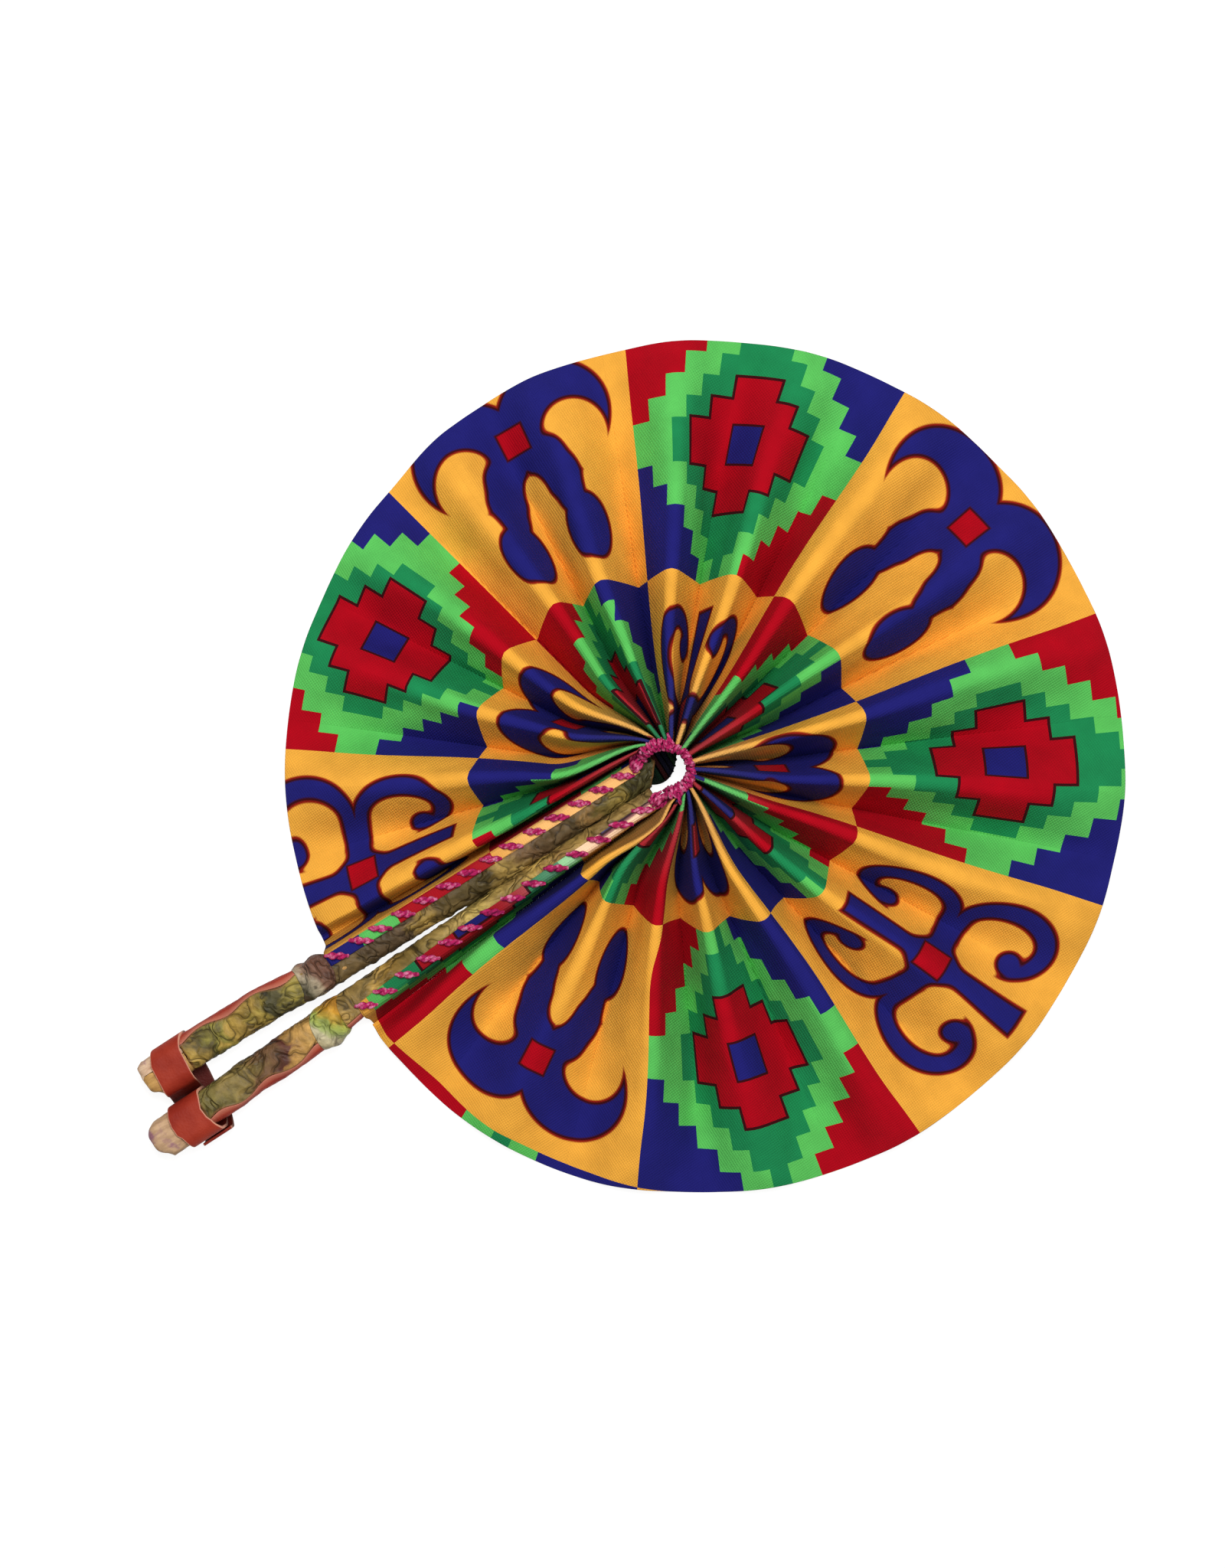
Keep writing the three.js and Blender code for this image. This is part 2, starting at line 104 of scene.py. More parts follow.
def mix(a, b, share):
    return a + (b - a) * share


def ease(low, high, value):
    share = min(max((value - low) / (high - low), 0), 1)
    return share * share * (3 - 2 * share)


def direction(angle):
    return Vector((math.cos(math.radians(angle)), math.sin(math.radians(angle))))


def at(x, y, z):
    """A point in millimetres from the hub, in the frame's metres."""
    return Vector((HUB.x + x * MM, HUB.y + y * MM, z * MM))


print("hub at", tuple(round(value, 4) for value in HUB))

# %% [markdown]
# The camera hangs straight over the fan and is turned, so that the handle points to the lower left
# as in the photograph. A long lens from two metres keeps the round leaf round.

# %% Camera
PHOTO_HEIGHT = 611.5
PHOTO_MIDDLE = (-8.1, -20.7)
PHOTO_TURN = 57
CAMERA_DISTANCE = 2000
LEAF_HEIGHT = 8
camera_data = bpy.data.cameras.new("camera")
camera_data.sensor_width = 36
camera_data.lens = camera_data.sensor_width * CAMERA_DISTANCE / PHOTO_HEIGHT
camera = bpy.data.objects.new("camera", camera_data)
camera.location = at(*PHOTO_MIDDLE, CAMERA_DISTANCE + LEAF_HEIGHT)
camera.rotation_euler = (0, 0, math.radians(PHOTO_TURN))
bpy.context.scene.collection.objects.link(camera)
bpy.context.scene.camera = camera

# %% [markdown]
# The key light stands high, towards the top of the photograph, and a second one towards its right,
# so that the far side of every steep fold stays dark. A pale sky fills the shadows.

# %% Lights
scene = bpy.context.scene
scene.view_settings.view_transform = "Standard"
LAMP_DISTANCE = 1.4
SKY_STRENGTH = 0.27


def area_light(name, heading, elevation, size, power):
    lamp = bpy.data.lights.new(name, "AREA")
    lamp.shape = "DISK"
    lamp.size = size
    lamp.energy = power
    holder = bpy.data.objects.new(name, lamp)
    rise = math.radians(elevation)
    away = Vector((*(direction(heading) * math.cos(rise)), math.sin(rise)))
    holder.location = HUB + away * LAMP_DISTANCE
    holder.rotation_euler = away.to_track_quat("Z", "Y").to_euler()
    scene.collection.objects.link(holder)


area_light("key_light", 160, 74, 0.5, 14)
area_light("top_light", 60, 78, 0.8, 6)
world = bpy.data.worlds.new("pale_sky")
world.use_nodes = True
sky = world.node_tree.nodes["Background"]
sky.inputs["Color"].default_value = (1, 1, 1, 1)
sky.inputs["Strength"].default_value = SKY_STRENGTH
scene.world = world

# %% [markdown]
# Every finish is a tree of nodes. Colours are written as on a screen, in sRGB, and one helper adds
# a node of any kind.

# %% Helpers for finishes
def linear(code):
    """A colour written as in sRGB, such as #EFA835, as the linear values a shader takes."""
    values = [int(code[k:k + 2], 16) / 255 for k in (1, 3, 5)]
    return tuple(v / 12.92 if v <= 0.04045 else ((v + 0.055) / 1.055) ** 2.4 for v in values) + (1.0,)


def add(tree, kind, *inputs, **settings):
    """Adds one node, sets its properties and inputs, and returns its first output."""
    node = tree.nodes.new("ShaderNode" + kind)
    named = settings.pop("sockets", {})
    for key, value in settings.items():
        setattr(node, key, value)
    for key, value in [*enumerate(inputs), *named.items()]:
        if isinstance(value, bpy.types.NodeSocket):
            tree.links.new(value, node.inputs[key])
        else:
            node.inputs[key].default_value = value
    return node.outputs[0]


def new_material(name):
    """A material, the tree to build its finish in, and its Principled shader."""
    material = bpy.data.materials.new(name)
    material.use_nodes = True
    tree = material.node_tree
    return material, tree, tree.nodes["Principled BSDF"]


print("red as a shader takes it:", [round(value, 3) for value in linear("#A81420")])

# %% [markdown]
# The floor is white paper that also glows a little for the camera, so that it stays white beside
# the fan and still takes its shadow.

# %% Floor
FLOOR_HALF = 3
FLOOR_GLOW = 1.12
GLOW_SHARE = 0.8
floor_mesh = bpy.data.meshes.new("floor")
floor_form = bmesh.new()
bmesh.ops.create_grid(floor_form, x_segments=1, y_segments=1, size=FLOOR_HALF)
floor_form.to_mesh(floor_mesh)
floor_form.free()
floor = bpy.data.objects.new("floor", floor_mesh)
scene.collection.objects.link(floor)
floor_paint, tree, shader = new_material("white_paper")
tree.nodes.remove(shader)
paper = add(tree, "BsdfDiffuse", linear("#F4F2EF"))
glow = add(tree, "Emission", (1, 1, 1, 1), FLOOR_GLOW)
seen = add(tree, "LightPath").node.outputs
seen_at_all = add(tree, "Math", seen["Is Camera Ray"], seen["Is Glossy Ray"], operation="MAXIMUM")
glow_share = add(tree, "Math", seen_at_all, GLOW_SHARE, operation="MULTIPLY")
floor_look = add(tree, "MixShader", glow_share, paper, glow)
tree.links.new(floor_look, tree.nodes["Material Output"].inputs["Surface"])
floor_mesh.materials.append(floor_paint)

# %% [markdown]
# The print is drawn on the cloth before it is pleated, so it is worked out in the cloth's own UV:
# u counts squares along the strip and v counts rows away from the hub. Squares of stepped kente
# weave take turns with squares of two figures. Each form is a distance, below zero inside it, and
# a dark red line follows the edge of every blue form, as the wax resist leaves on such cotton.

# %% Print: helpers for distances
ORANGE = "#EAA846"
BLUE = "#21206C"
RED = "#A81420"
GREEN = "#5CBC5C"
TEAL = "#20824E"
LINE = "#38070E"
RED_LINE = "#8E2016"


def disc(tree, place, centre, radii):
    """Distance to an ellipse, in squares."""
    local = add(tree, "Mapping", place, (*centre, 0), (0, 0, 0), (*radii, 1), vector_type="TEXTURE")
    steep = add(tree, "VectorMath", local, (*radii, 1), operation="DIVIDE")
    far, steep_far = [
        add(tree, "VectorMath", vector, operation="LENGTH").node.outputs["Value"] for vector in (local, steep)
    ]
    past = add(tree, "Math", far, 1.0, operation="SUBTRACT")
    ratio = add(tree, "Math", far, steep_far, operation="DIVIDE")
    return add(tree, "Math", past, ratio, operation="MULTIPLY")


def bar(tree, place, centre, half):
    """Distance to an oblong, in squares."""
    local = add(tree, "Mapping", place, (*centre, 0), (0, 0, 0), (1, 1, 1), vector_type="TEXTURE")
    flat = add(tree, "VectorMath", local, operation="ABSOLUTE")
    past = add(tree, "VectorMath", flat, (*half, 0), operation="SUBTRACT")
    x, y, _ = add(tree, "SeparateXYZ", past).node.outputs
    return add(tree, "Math", x, y, operation="MAXIMUM")


def join(tree, forms, softness=0.0):
    """Distance to several forms melted together."""
    whole = forms[0]
    for form in forms[1:]:
        whole = add(tree, "Math", whole, form, softness, operation="SMOOTH_MIN")
    return whole


def cut(tree, form, hole, softness=0.01):
    """Distance to a form with another taken out of it."""
    outside = add(tree, "Math", hole, -1.0, operation="MULTIPLY")
    return add(tree, "Math", form, outside, softness, operation="SMOOTH_MAX")


def away(tree, value, middle):
    """How far a value lies from a middle, to either side."""
    shifted = add(tree, "Math", value, middle, operation="SUBTRACT")
    return add(tree, "Math", shifted, operation="ABSOLUTE")


INK_SOFTNESS = 0.003


def inside(tree, distance, edge=0.0):
    """1 inside a form, 0 outside it, with an edge as soft as printed ink."""
    return add(tree, "MapRange", distance, edge + INK_SOFTNESS, edge - INK_SOFTNESS, 0.0, 1.0)


def paint(tree, under, over, share):
    """One look painted over another where share is 1. A look is a socket or a colour's code."""
    looks = [linear(look) if isinstance(look, str) else look for look in (under, over)]
    return add(tree, "Mix", sockets={0: share, 6: looks[0], 7: looks[1]}, data_type="RGBA").node.outputs[2]


def finish(tree, shader, look, relief, strength, depth, roughness, specular=0.5):
    """Gives a material its colour, a bump of so many millimetres, and its gloss."""
    bump = add(tree, "Bump", sockets={"Strength": strength, "Distance": depth * MM, "Height": relief})
    tree.links.new(look, shader.inputs["Base Color"])
    tree.links.new(bump, shader.inputs["Normal"])
    shader.inputs["Roughness"].default_value = roughness
    shader.inputs["Specular IOR Level"].default_value = specular


# %% [markdown]
# The horned figure has two hooked horns and two legs that narrow and swell again. The curled one
# has four hooks on a stem. Their halves mirror each other, so each is drawn once, on the absolute
# distance from its middle line. Overlapping discs that melt together give the hand-drawn outlines.

# %% Print: the horned and the curled figure
INK_LINE = 0.017


def wedge(tree, place, length, narrow, wide):
    """Distance to a stem that widens towards its end."""
    x, y, _ = add(tree, "SeparateXYZ", place).node.outputs
    half = add(tree, "MapRange", y, 0.12, length, narrow, wide)
    side = add(tree, "Math", x, half, operation="SUBTRACT")
    end = add(tree, "Math", y, length, operation="SUBTRACT")
    return add(tree, "Math", side, end, operation="MAXIMUM")


def horned_figure(tree, place):
    """Distance to the horned figure, in squares."""
    horn = disc(tree, place, (0.188, 0.69), (0.218, 0.212))
    horn = cut(tree, horn, disc(tree, place, (0.25, 0.595), (0.154, 0.160)))
    head = bar(tree, place, (0, 0.665), (0.096, 0.115))
    leg = join(tree, [
        disc(tree, place, (0.098, 0.545), (0.078, 0.085)),
        disc(tree, place, (0.142, 0.462), (0.074, 0.080)),
        disc(tree, place, (0.158, 0.375), (0.050, 0.06)),
    ], 0.06)
    foot = disc(tree, place, (0.198, 0.235), (0.095, 0.132))
    whole = join(tree, [join(tree, [horn, head, leg], 0.05), foot], 0.015)
    return cut(tree, whole, disc(tree, place, (0, 0.40), (0.075, 0.133)))


def curled_figure(tree, place):
    """Distance to the curled figure, in squares."""
    stem = wedge(tree, place, 0.385, 0.034, 0.044)
    arm = bar(tree, place, (0.12, 0.0), (0.12, 0.040))
    middle = disc(tree, place, (0, 0), (0.082, 0.10))
    outer = disc(tree, place, (0.25, 0.19), (0.140, 0.187))
    opening = join(tree, [
        disc(tree, place, (0.25, 0.19), (0.076, 0.123)),
        disc(tree, place, (0.142, 0.150), (0.080, 0.106)),
    ], 0.22)
    tip = disc(tree, place, (0.168, 0.256), (0.041, 0.038))
    hook = join(tree, [cut(tree, outer, opening, 0.02), tip], 0.03)
    return join(tree, [join(tree, [stem, arm, middle], 0.05), hook], 0.03)


KENTE_STEPS = 12.0


def kente_square(tree, place):
    """Stepped weave: a red middle in teal and green steps, on blue and red corners."""
    middle = add(tree, "VectorMath", place, (0.5, 0.5, 0), operation="SUBTRACT")
    x, y, _ = add(tree, "SeparateXYZ", middle).node.outputs
    steps = add(tree, "VectorMath", middle, operation="ABSOLUTE")
    steps = add(tree, "VectorMath", steps, (KENTE_STEPS, KENTE_STEPS, 0), operation="MULTIPLY")
    across, along, _ = add(tree, "SeparateXYZ", steps).node.outputs
    row = add(tree, "Math", along, operation="FLOOR")
    product = add(tree, "Math", x, y, operation="MULTIPLY")
    look = paint(tree, BLUE, RED, add(tree, "Math", product, 0.0, operation="GREATER_THAN"))
    for slope, widest, code in ((-0.87, 6.0, GREEN), (-0.72, 4.0, TEAL)):
        reach = add(tree, "Math", row, slope, widest, operation="MULTIPLY_ADD")
        look = paint(tree, look, code, add(tree, "Math", across, reach, operation="LESS_THAN"))
    for grown, code in ((0.13, LINE), (0.0, RED)):
        counts = []
        for part in (across, along):
            shrunk = add(tree, "Math", part, grown, operation="SUBTRACT")
            shrunk = add(tree, "Math", shrunk, operation="FLOOR")
            counts.append(add(tree, "Math", shrunk, 0.0, operation="MAXIMUM"))
        step_sum = add(tree, "Math", *counts, operation="ADD")
        look = paint(tree, look, code, add(tree, "Math", step_sum, 2.5, operation="LESS_THAN"))
    narrow = add(tree, "Math", across, 1.1, operation="MULTIPLY")
    far = add(tree, "Math", narrow, along, operation="MAXIMUM")
    for reach, code in ((0.95, LINE), (0.84, BLUE)):
        look = paint(tree, look, code, add(tree, "Math", far, reach, operation="LESS_THAN"))
    return look


# %% [markdown]
# The cotton is wax-printed: a plain weave of thin yarn with ink on its face. The weave is finer than
# the render can show, so its bump is drawn at 0.9 mm, and the ink varies a little in depth.

# %% Printed cotton
CURL_MIDDLE = 0.49
CURLED_TURN = 3.0  # of the six squares that a row of the print repeats


def printed_cotton():
    material, tree, shader = new_material("wax_printed_cotton")
    strip, rows, _ = add(tree, "SeparateXYZ", add(tree, "UVMap", uv_map="print")).node.outputs
    square = add(tree, "Math", strip, operation="FLOOR")
    row = add(tree, "Math", rows, operation="FLOOR")
    along = add(tree, "Math", strip, operation="FRACT")
    across = add(tree, "Math", 1.0, along, operation="SUBTRACT")
    up = add(tree, "Math", rows, operation="FRACT")
    place = add(tree, "CombineXYZ", across, up, 0.0)

    half = away(tree, across, 0.5)
    horn_place = add(tree, "CombineXYZ", half, up, 0.0)
    curl_place = add(tree, "CombineXYZ", half, away(tree, up, CURL_MIDDLE), 0.0)

    looks = []
    for distance, heart_up, heart_half in (
        (horned_figure(tree, horn_place), 0.669, 0.05),
        (curled_figure(tree, curl_place), CURL_MIDDLE, 0.055),
    ):
        look = paint(tree, ORANGE, RED_LINE, inside(tree, distance, INK_LINE))
        look = paint(tree, look, LINE, inside(tree, distance, INK_LINE * 0.55))
        look = paint(tree, look, BLUE, inside(tree, distance))
        heart = bar(tree, horn_place, (0, heart_up), (heart_half, heart_half))
        look = paint(tree, look, LINE, inside(tree, heart, 0.009))
        looks.append(paint(tree, look, RED, inside(tree, heart)))

    shifted = add(tree, "Math", row, -3.0, square, operation="MULTIPLY_ADD")
    turn = add(tree, "Math", shifted, 6.0, operation="FLOORED_MODULO")
    is_curled = add(tree, "Math", turn, CURLED_TURN, 0.5, operation="COMPARE")
    count = add(tree, "Math", square, row, operation="ADD")
    odd = add(tree, "Math", count, 2.0, operation="FLOORED_MODULO")
    is_figure = add(tree, "Math", odd, 0.5, operation="GREATER_THAN")
    look = paint(tree, kente_square(tree, place), paint(tree, *looks, is_curled), is_figure)

    point = add(tree, "TexCoord").node.outputs["Object"]
    depth = add(tree, "TexNoise", point, sockets={"Scale": 90.0, "Detail": 4.0})
    deeper = add(tree, "MapRange", depth, 0.3, 0.7, 0.88, 1.06)
    # The second UV map scales the print's value and saturation; its value also holds painted shade: near-black
    # inside the hub, and darker on the last ridge's slope and the outer slopes of the end panels.
    value, strength, _ = add(tree, "SeparateXYZ", add(tree, "UVMap", uv_map="ink_and_painted_shade")).node.outputs
    deeper = add(tree, "Math", deeper, value, operation="MULTIPLY")
    look = add(tree, "HueSaturation", sockets={"Color": look, "Value": deeper, "Saturation": strength})

    yarns = {"Vector": point, "Scale": 350.0, "Distortion": 1.5, "Detail Scale": 2.0}
    weave = [add(tree, "TexWave", wave_type="BANDS", bands_direction=way, sockets=yarns) for way in ("X", "Y")]
    threads = add(tree, "Math", *weave, operation="ADD")
    slub = add(tree, "TexNoise", point, sockets={"Scale": 260.0, "Detail": 3.0})
    relief = add(tree, "Math", slub, 1.6, threads, operation="MULTIPLY_ADD")
    finish(tree, shader, look, relief, 0.35, 0.4, 0.9, 0.12)
    return material


cotton = printed_cotton()
print("cotton nodes:", len(cotton.node_tree.nodes))

# %% [markdown]
# The leaf is one strip, pleated to 19 ridges. Every crease runs straight in from the trimmed rim
# and bends to its place in the lacing near the hub. The face between a ridge and a valley is
# equally wide all the way: at the hub it stands on end, and at the rim it lies in a soft wave.

# %% Creases
def ring_point(crease, scale=1.0):
    angle = math.radians(mix(*RING_ANGLES, (crease - 1) / (PLEATS - 1)))
    half_x, half_y = RING_HALF
    return Vector((RING_CENTRE_X + scale * half_x * math.cos(angle), scale * half_y * math.sin(angle)))


def to_rim(start, along):
    to_centre = RIM_CENTRE - start
    nearest = to_centre.dot(along)
    return start + along * (nearest + math.sqrt(RIM_RADIUS ** 2 - (to_centre.length_squared - nearest ** 2)))


def crease_line(crease):
    """The ends of a crease: at the lacing and at the rim."""
    if crease in (0.5, 1, PLEATS, PLEATS + 0.5):
        side = 0 if crease < 10 else 1
        angle = EDGE_HEADINGS[side]
        if crease % 1:
            angle = (angle + STICK_HEADINGS[side]) / 2
        along = direction(angle)
        start = ring_point(crease) - along * (0 if crease % 1 else CREASE_INSET)
        return start, to_rim(start, along)
    angle = (CREST_ANGLES[math.floor(crease) - 1] + CREST_ANGLES[math.ceil(crease) - 1]) / 2
    end = to_rim(Vector((0, 0)), direction(angle))
    start = ring_point(crease)
    return start - (end - start).normalized() * CREASE_INSET, end


BEND_SHARE = 0.24
EDGE_BULGE = 4.2  # how far the last ridge bends towards its stick


def crest_point(ridge, along):
    """Ridges run straight in from the rim, and bend to the lacing over the last 35 mm."""
    start, end = crease_line(ridge)
    if ridge in (1, PLEATS):
        bulge = EDGE_BULGE * ease(0, 0.07, along) * ease(0.26, 0.09, along) if ridge > 1 else 0
        return start.lerp(end, along) + Vector((bulge, 0))
    out = end.normalized()
    bend = start - out * start.length
    return out * mix(start.length, end.length, along) + bend * (1 - ease(0, BEND_SHARE, along))


def crease_point(crease, along):
    if crease in (0.5, PLEATS + 0.5):
        start, end = crease_line(crease)
        return start.lerp(end, along)
    return (crest_point(math.floor(crease), along) + crest_point(math.ceil(crease), along)) / 2


# Angles round the middle of the leaf where two squares of the print meet the rim
SQUARE_ANGLES = [273.6, 234.6, 196.1, 157.9, 119.0, 78.4, 37.7, -2.6, -42.1, -81.1, -120]


def rim_share(crease):
    """Where a crease meets the rim, in squares of the print along the strip."""
    out = crease_line(crease)[1] - RIM_CENTRE
    angle = math.degrees(math.atan2(out.y, out.x))
    if angle < -95:
        angle += 360
    if crease < 10 and angle < 0:
        angle += 360
    for square, (first, last) in enumerate(zip(SQUARE_ANGLES, SQUARE_ANGLES[1:]), -1):
        if angle >= last:
            break
    return square + (first - angle) / (first - last)


# Squares along the strip, how far from the hub the outer row starts there, and how high it is
ROW_EDGES = [
    (-1, 79), (-0.5, 77), (0, 74.5), (1, 76), (2, 76), (3, 79.3), (4, 77.3), (5, 75), (5.5, 73.5), (6, 66),
    (6.5, 61.7), (7, 57.3), (7.6, 53.3), (8, 50.3), (9, 48),
]
ROW_HEIGHTS = [
    (-0.5, 98.5), (0.5, 93.5), (1.5, 100), (2.5, 107), (4.5, 110), (5.5, 106), (6.8, 106.5), (7.2, 103),
    (7.5, 101.6), (7.78, 98.6), (8, 99.7), (8.4, 97.5),
]


def along_table(table, value):
    """The value of a bent line, given by its corners, at one place."""
    for (low, low_height), (high, high_height) in zip(table, table[1:]):
        if value <= high:
            return mix(low_height, high_height, ease(low, high, value))
    return table[-1][1]


SQUARES_BEFORE = 10
ROWS_BEFORE = 4
CREST_PULL = (6, 4)  # at the left and at the right of the leaf


def print_place(squares, crest, x, y):
    """Squares along the strip and rows out from the hub. A crest pulls the print outwards."""
    out = math.hypot(x, y)
    pull = mix(*CREST_PULL, ease(1, 4, squares)) * (crest - 0.5) * mix(1, 0.15, ease(80, 125, out))
    row = (out - along_table(ROW_EDGES, squares) - pull) / along_table(ROW_HEIGHTS, squares)
    return squares + SQUARES_BEFORE, row + ROWS_BEFORE


print("squares along the rim:", round(rim_share(0.5), 2), "to", round(rim_share(19.5), 2))

# %% [markdown]
# A fold is not a knife edge: the cloth turns over a small crown, then runs down a straight flank.
# Near the hub only these crowns catch the light, which draws the bright thin rays of the real fan.

# %% Section of a fold
def fold_section(half_width, height, crown, share):
    """Across and up for a share of the way from the ridge (0) to the valley (1)."""
    crown = min(crown, 0.85 * half_width)
    drop = height - crown
    reach = math.hypot(half_width, drop)
    turn = math.atan2(drop, half_width) + math.asin(crown / reach)
    arc = crown * turn
    flank = math.sqrt(reach ** 2 - crown ** 2)
    walked = share * (arc + flank)
    if walked <= arc:
        angle = walked / crown
        return crown * math.sin(angle), drop + crown * math.cos(angle)
    rest = walked - arc
    return (
        crown * math.sin(turn) + rest * math.cos(turn),
        drop + crown * math.cos(turn) - rest * math.sin(turn),
    )


def tuck(point, up, share):
    """The inner end of a fold is drawn down into the hub, on the left as far as the middle of it."""
    left = ease(-1, -8, point.x)
    goal = mix(point.x * 0.86, max(2.3 - 0.07 * (point.y + 3) ** 2, point.x), left)
    drawn = Vector((mix(point.x, goal, share), point.y * (1 - 0.1 * share * (1 - left))))
    return drawn, up * (1 - mix(0.55, 0.88, left) * share ** 0.7)


# Angle round the middle of the leaf, and how far the hand-cut rim stands out from a true circle
RIM_SWELL = [
    (-90, 0), (-80, 1.4), (-68, 3.2), (-50, 4.3), (-36, 2.8), (-20, 2.6), (-2, 2.0), (16, 1.4), (34, 0.6),
    (60, 0.3), (90, -0.3), (100, 0.2), (112, 1.4), (130, 2.5), (150, 2.4), (160, 1.8), (172, 2.2), (184, 1.5),
    (196, -0.4), (214, -0.7), (232, 0), (270, 0),
]
RIM_CROWN = 9.0
SWAY = 0.9  # of a ridge to its sides
BELLY = 2.2  # of the cloth between a ridge and a valley


def rim_swell(out):
    angle = math.degrees(math.atan2(out.y, out.x))
    return along_table(RIM_SWELL, angle + 360 if angle < -95 else angle)


def pleat_point(ridge, across, along, inner):
    """A point of one pleat. across runs from -1 at one valley to 1 at the next, along from hub to rim."""
    rim_top = crest_point(ridge, 1)
    rims = [crease_point(ridge - 0.5, 1), crease_point(ridge + 0.5, 1)]
    face = math.hypot(max((rim - rim_top).length for rim in rims), RIM_WAVE)
    crest = crest_point(ridge, along)
    reaches = [crease_point(valley, along) - crest for valley in (ridge - 0.5, ridge + 0.5)]
    height = math.sqrt(max(face ** 2 - max(reach.length_squared for reach in reaches), RIM_WAVE ** 2))
    height = mix(HUB_HEIGHT, height, ease(0, 0.3, along))
    side = 0 if across < 0 else 1
    reach = reaches[side]
    share = abs(across)
    crown = mix(CROWN_RADIUS, RIM_CROWN, along ** 1.5)
    out, up = fold_section(reach.length, height, crown, share)
    softness = ease(0.45, 1.0, along)
    out = mix(out, reach.length * share, softness)
    up = mix(up, height * (1 + math.cos(math.pi * share)) / 2, softness)
    sway = SWAY * math.sin(along * 9 + ridge * 2.1) * (1 - share) * ease(0, 0.3, along) * ease(1, 0.8, along)
    belly = noise.noise(Vector((ridge * 3.7, across * 1.6, along * 4.5)))
    belly *= BELLY * math.sin(math.pi * share) * ease(0.05, 0.4, along)
    point = crest + reach.normalized() * (out + sway * (-1 if side == 0 else 1))
    from_centre = rim_top.lerp(rims[side], share) - RIM_CENTRE
    point += from_centre * ((RIM_RADIUS + rim_swell(from_centre)) / from_centre.length - 1) * along
    point, up = tuck(point, up, inner)
    return point.x, point.y, CLOTH + max(up + belly, 0)


def pleat_ink_and_painted_shade(ridge, across, x, y, inner):
    """Value and saturation of the print: darker and less saturated near the hub, with painted shade near-black
    inside it and on the last ridge's slope towards the stick.
    """
    near = ease(48, 14, math.hypot(x, y))
    # Darker near the hub; the cloth drawn down inside the hub is painted near-black as painted shade.
    depth = mix(mix(1, 0.84, near), 0.06, ease(0.02, 0.3, inner))
    # Painted shade on the last ridge's slope towards the stick, near the hub.
    if ridge == PLEATS:
        depth *= 1 - 0.5 * ease(0.01, 0.14, across) * ease(95, 55, -y)
    return depth, mix(1.02, 0.93, near)


# Two ridges where the print was caught to one side near the hub, in squares
RIDGE_SLIP = {6: 0.1, 17: 0.06}


def squares_at(ridge, across, along):
    """Squares along the strip, and how near the ridge is."""
    valley = ridge + (0.5 if across > 0 else -0.5)
    slip = RIDGE_SLIP.get(ridge, 0) * (1 - abs(across)) * ease(0.5, 0.2, along)
    return mix(rim_share(ridge), rim_share(valley), abs(across)) + slip, 1 - abs(across)


# %% [markdown]
# A finished piece is a mesh at the frame's origin. It takes the place of a CAD node and rides on
# the body that the node belongs to, so that it moves with the fan. Cloth and leather start as flat
# grids, whose points are then moved, and whose UV maps carry what the finishes need to know.

# %% Fit pieces to the frame
def fitted(name, mesh, node, body):
    """Shows a mesh in place of a CAD node, on the body it moves with."""
    piece = bpy.data.objects.new(name, mesh)
    scene.collection.objects.link(piece)
    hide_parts(node)
    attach(piece, body)
    return piece


def shown(name, form, material, node, body):
    """Turns a bmesh into a smooth mesh of one material, and fits it."""
    for face in form.faces:
        face.smooth = True
    mesh = bpy.data.meshes.new(name)
    form.to_mesh(mesh)
    form.free()
    mesh.materials.append(material)
    return fitted(name, mesh, node, body)


def laid_grid(grid, place, maps):
    """A grid moved to where place says, -1 to 1 across and 0 to 1 along. A mark follows for each map."""
    form = bmesh.new()
    bmesh.ops.create_grid(form, x_segments=grid[0], y_segments=grid[1], size=1)
    marks = {}
    for vertex in form.verts:
        point, *marks[vertex] = place(vertex.co.x, (vertex.co.y + 1) / 2)
        vertex.co = at(*point)
    layers = [form.loops.layers.uv.new(name) for name in maps]
    for face in form.faces:
        for loop in face.loops:
            for layer, mark in zip(layers, marks[loop.vert]):
                loop[layer].uv = mark
    bmesh.ops.recalc_face_normals(form, faces=form.faces)
    return form


def thicken(piece, thickness, offset=-1):
    """Gives a sheet its thickness, inwards from its face or to both sides of it."""
    wall = piece.modifiers.new("wall", "SOLIDIFY")
    wall.thickness = thickness * MM
    wall.offset = offset


# %% [markdown]
# The grid of a pleat is closer near the ridge, where the cloth turns most. Solidify gives the cotton
# its thickness. One UV map places the print, and a second tells how deep and how strong its ink is
# and also carries painted shade, where the cloth lies in shadow inside the hub and on some slopes.


def cloth_piece(name, grid, place, node, body):
    """place gives a point of the cloth, its square and crest in the print, and its ink strength with painted
    shade.
    """
    def marked(across, along):
        point, square, ink_and_painted_shade = place(across, along)
        return point, print_place(*square, *point[:2]), ink_and_painted_shade

    form = laid_grid(grid, marked, ("print", "ink_and_painted_shade"))
    if sum(face.normal.z * face.calc_area() for face in form.faces) < 0:
        bmesh.ops.reverse_faces(form, faces=form.faces)
    area = sum(face.calc_area() for face in form.faces)
    piece = shown(name, form, cotton, node, body)
    thicken(piece, CLOTH)
    return piece, area


COLUMNS = 48
ROWS = 78
TUCKED = 10 / ROWS


def crowded(share):
    """Moves grid columns towards the ridge, and the last but one close to the valley."""
    if abs(share) > 1 - 1 / COLUMNS:
        return math.copysign(1, share)
    return math.copysign(0.997 * (abs(share) / (1 - 2 / COLUMNS)) ** 1.5, share)


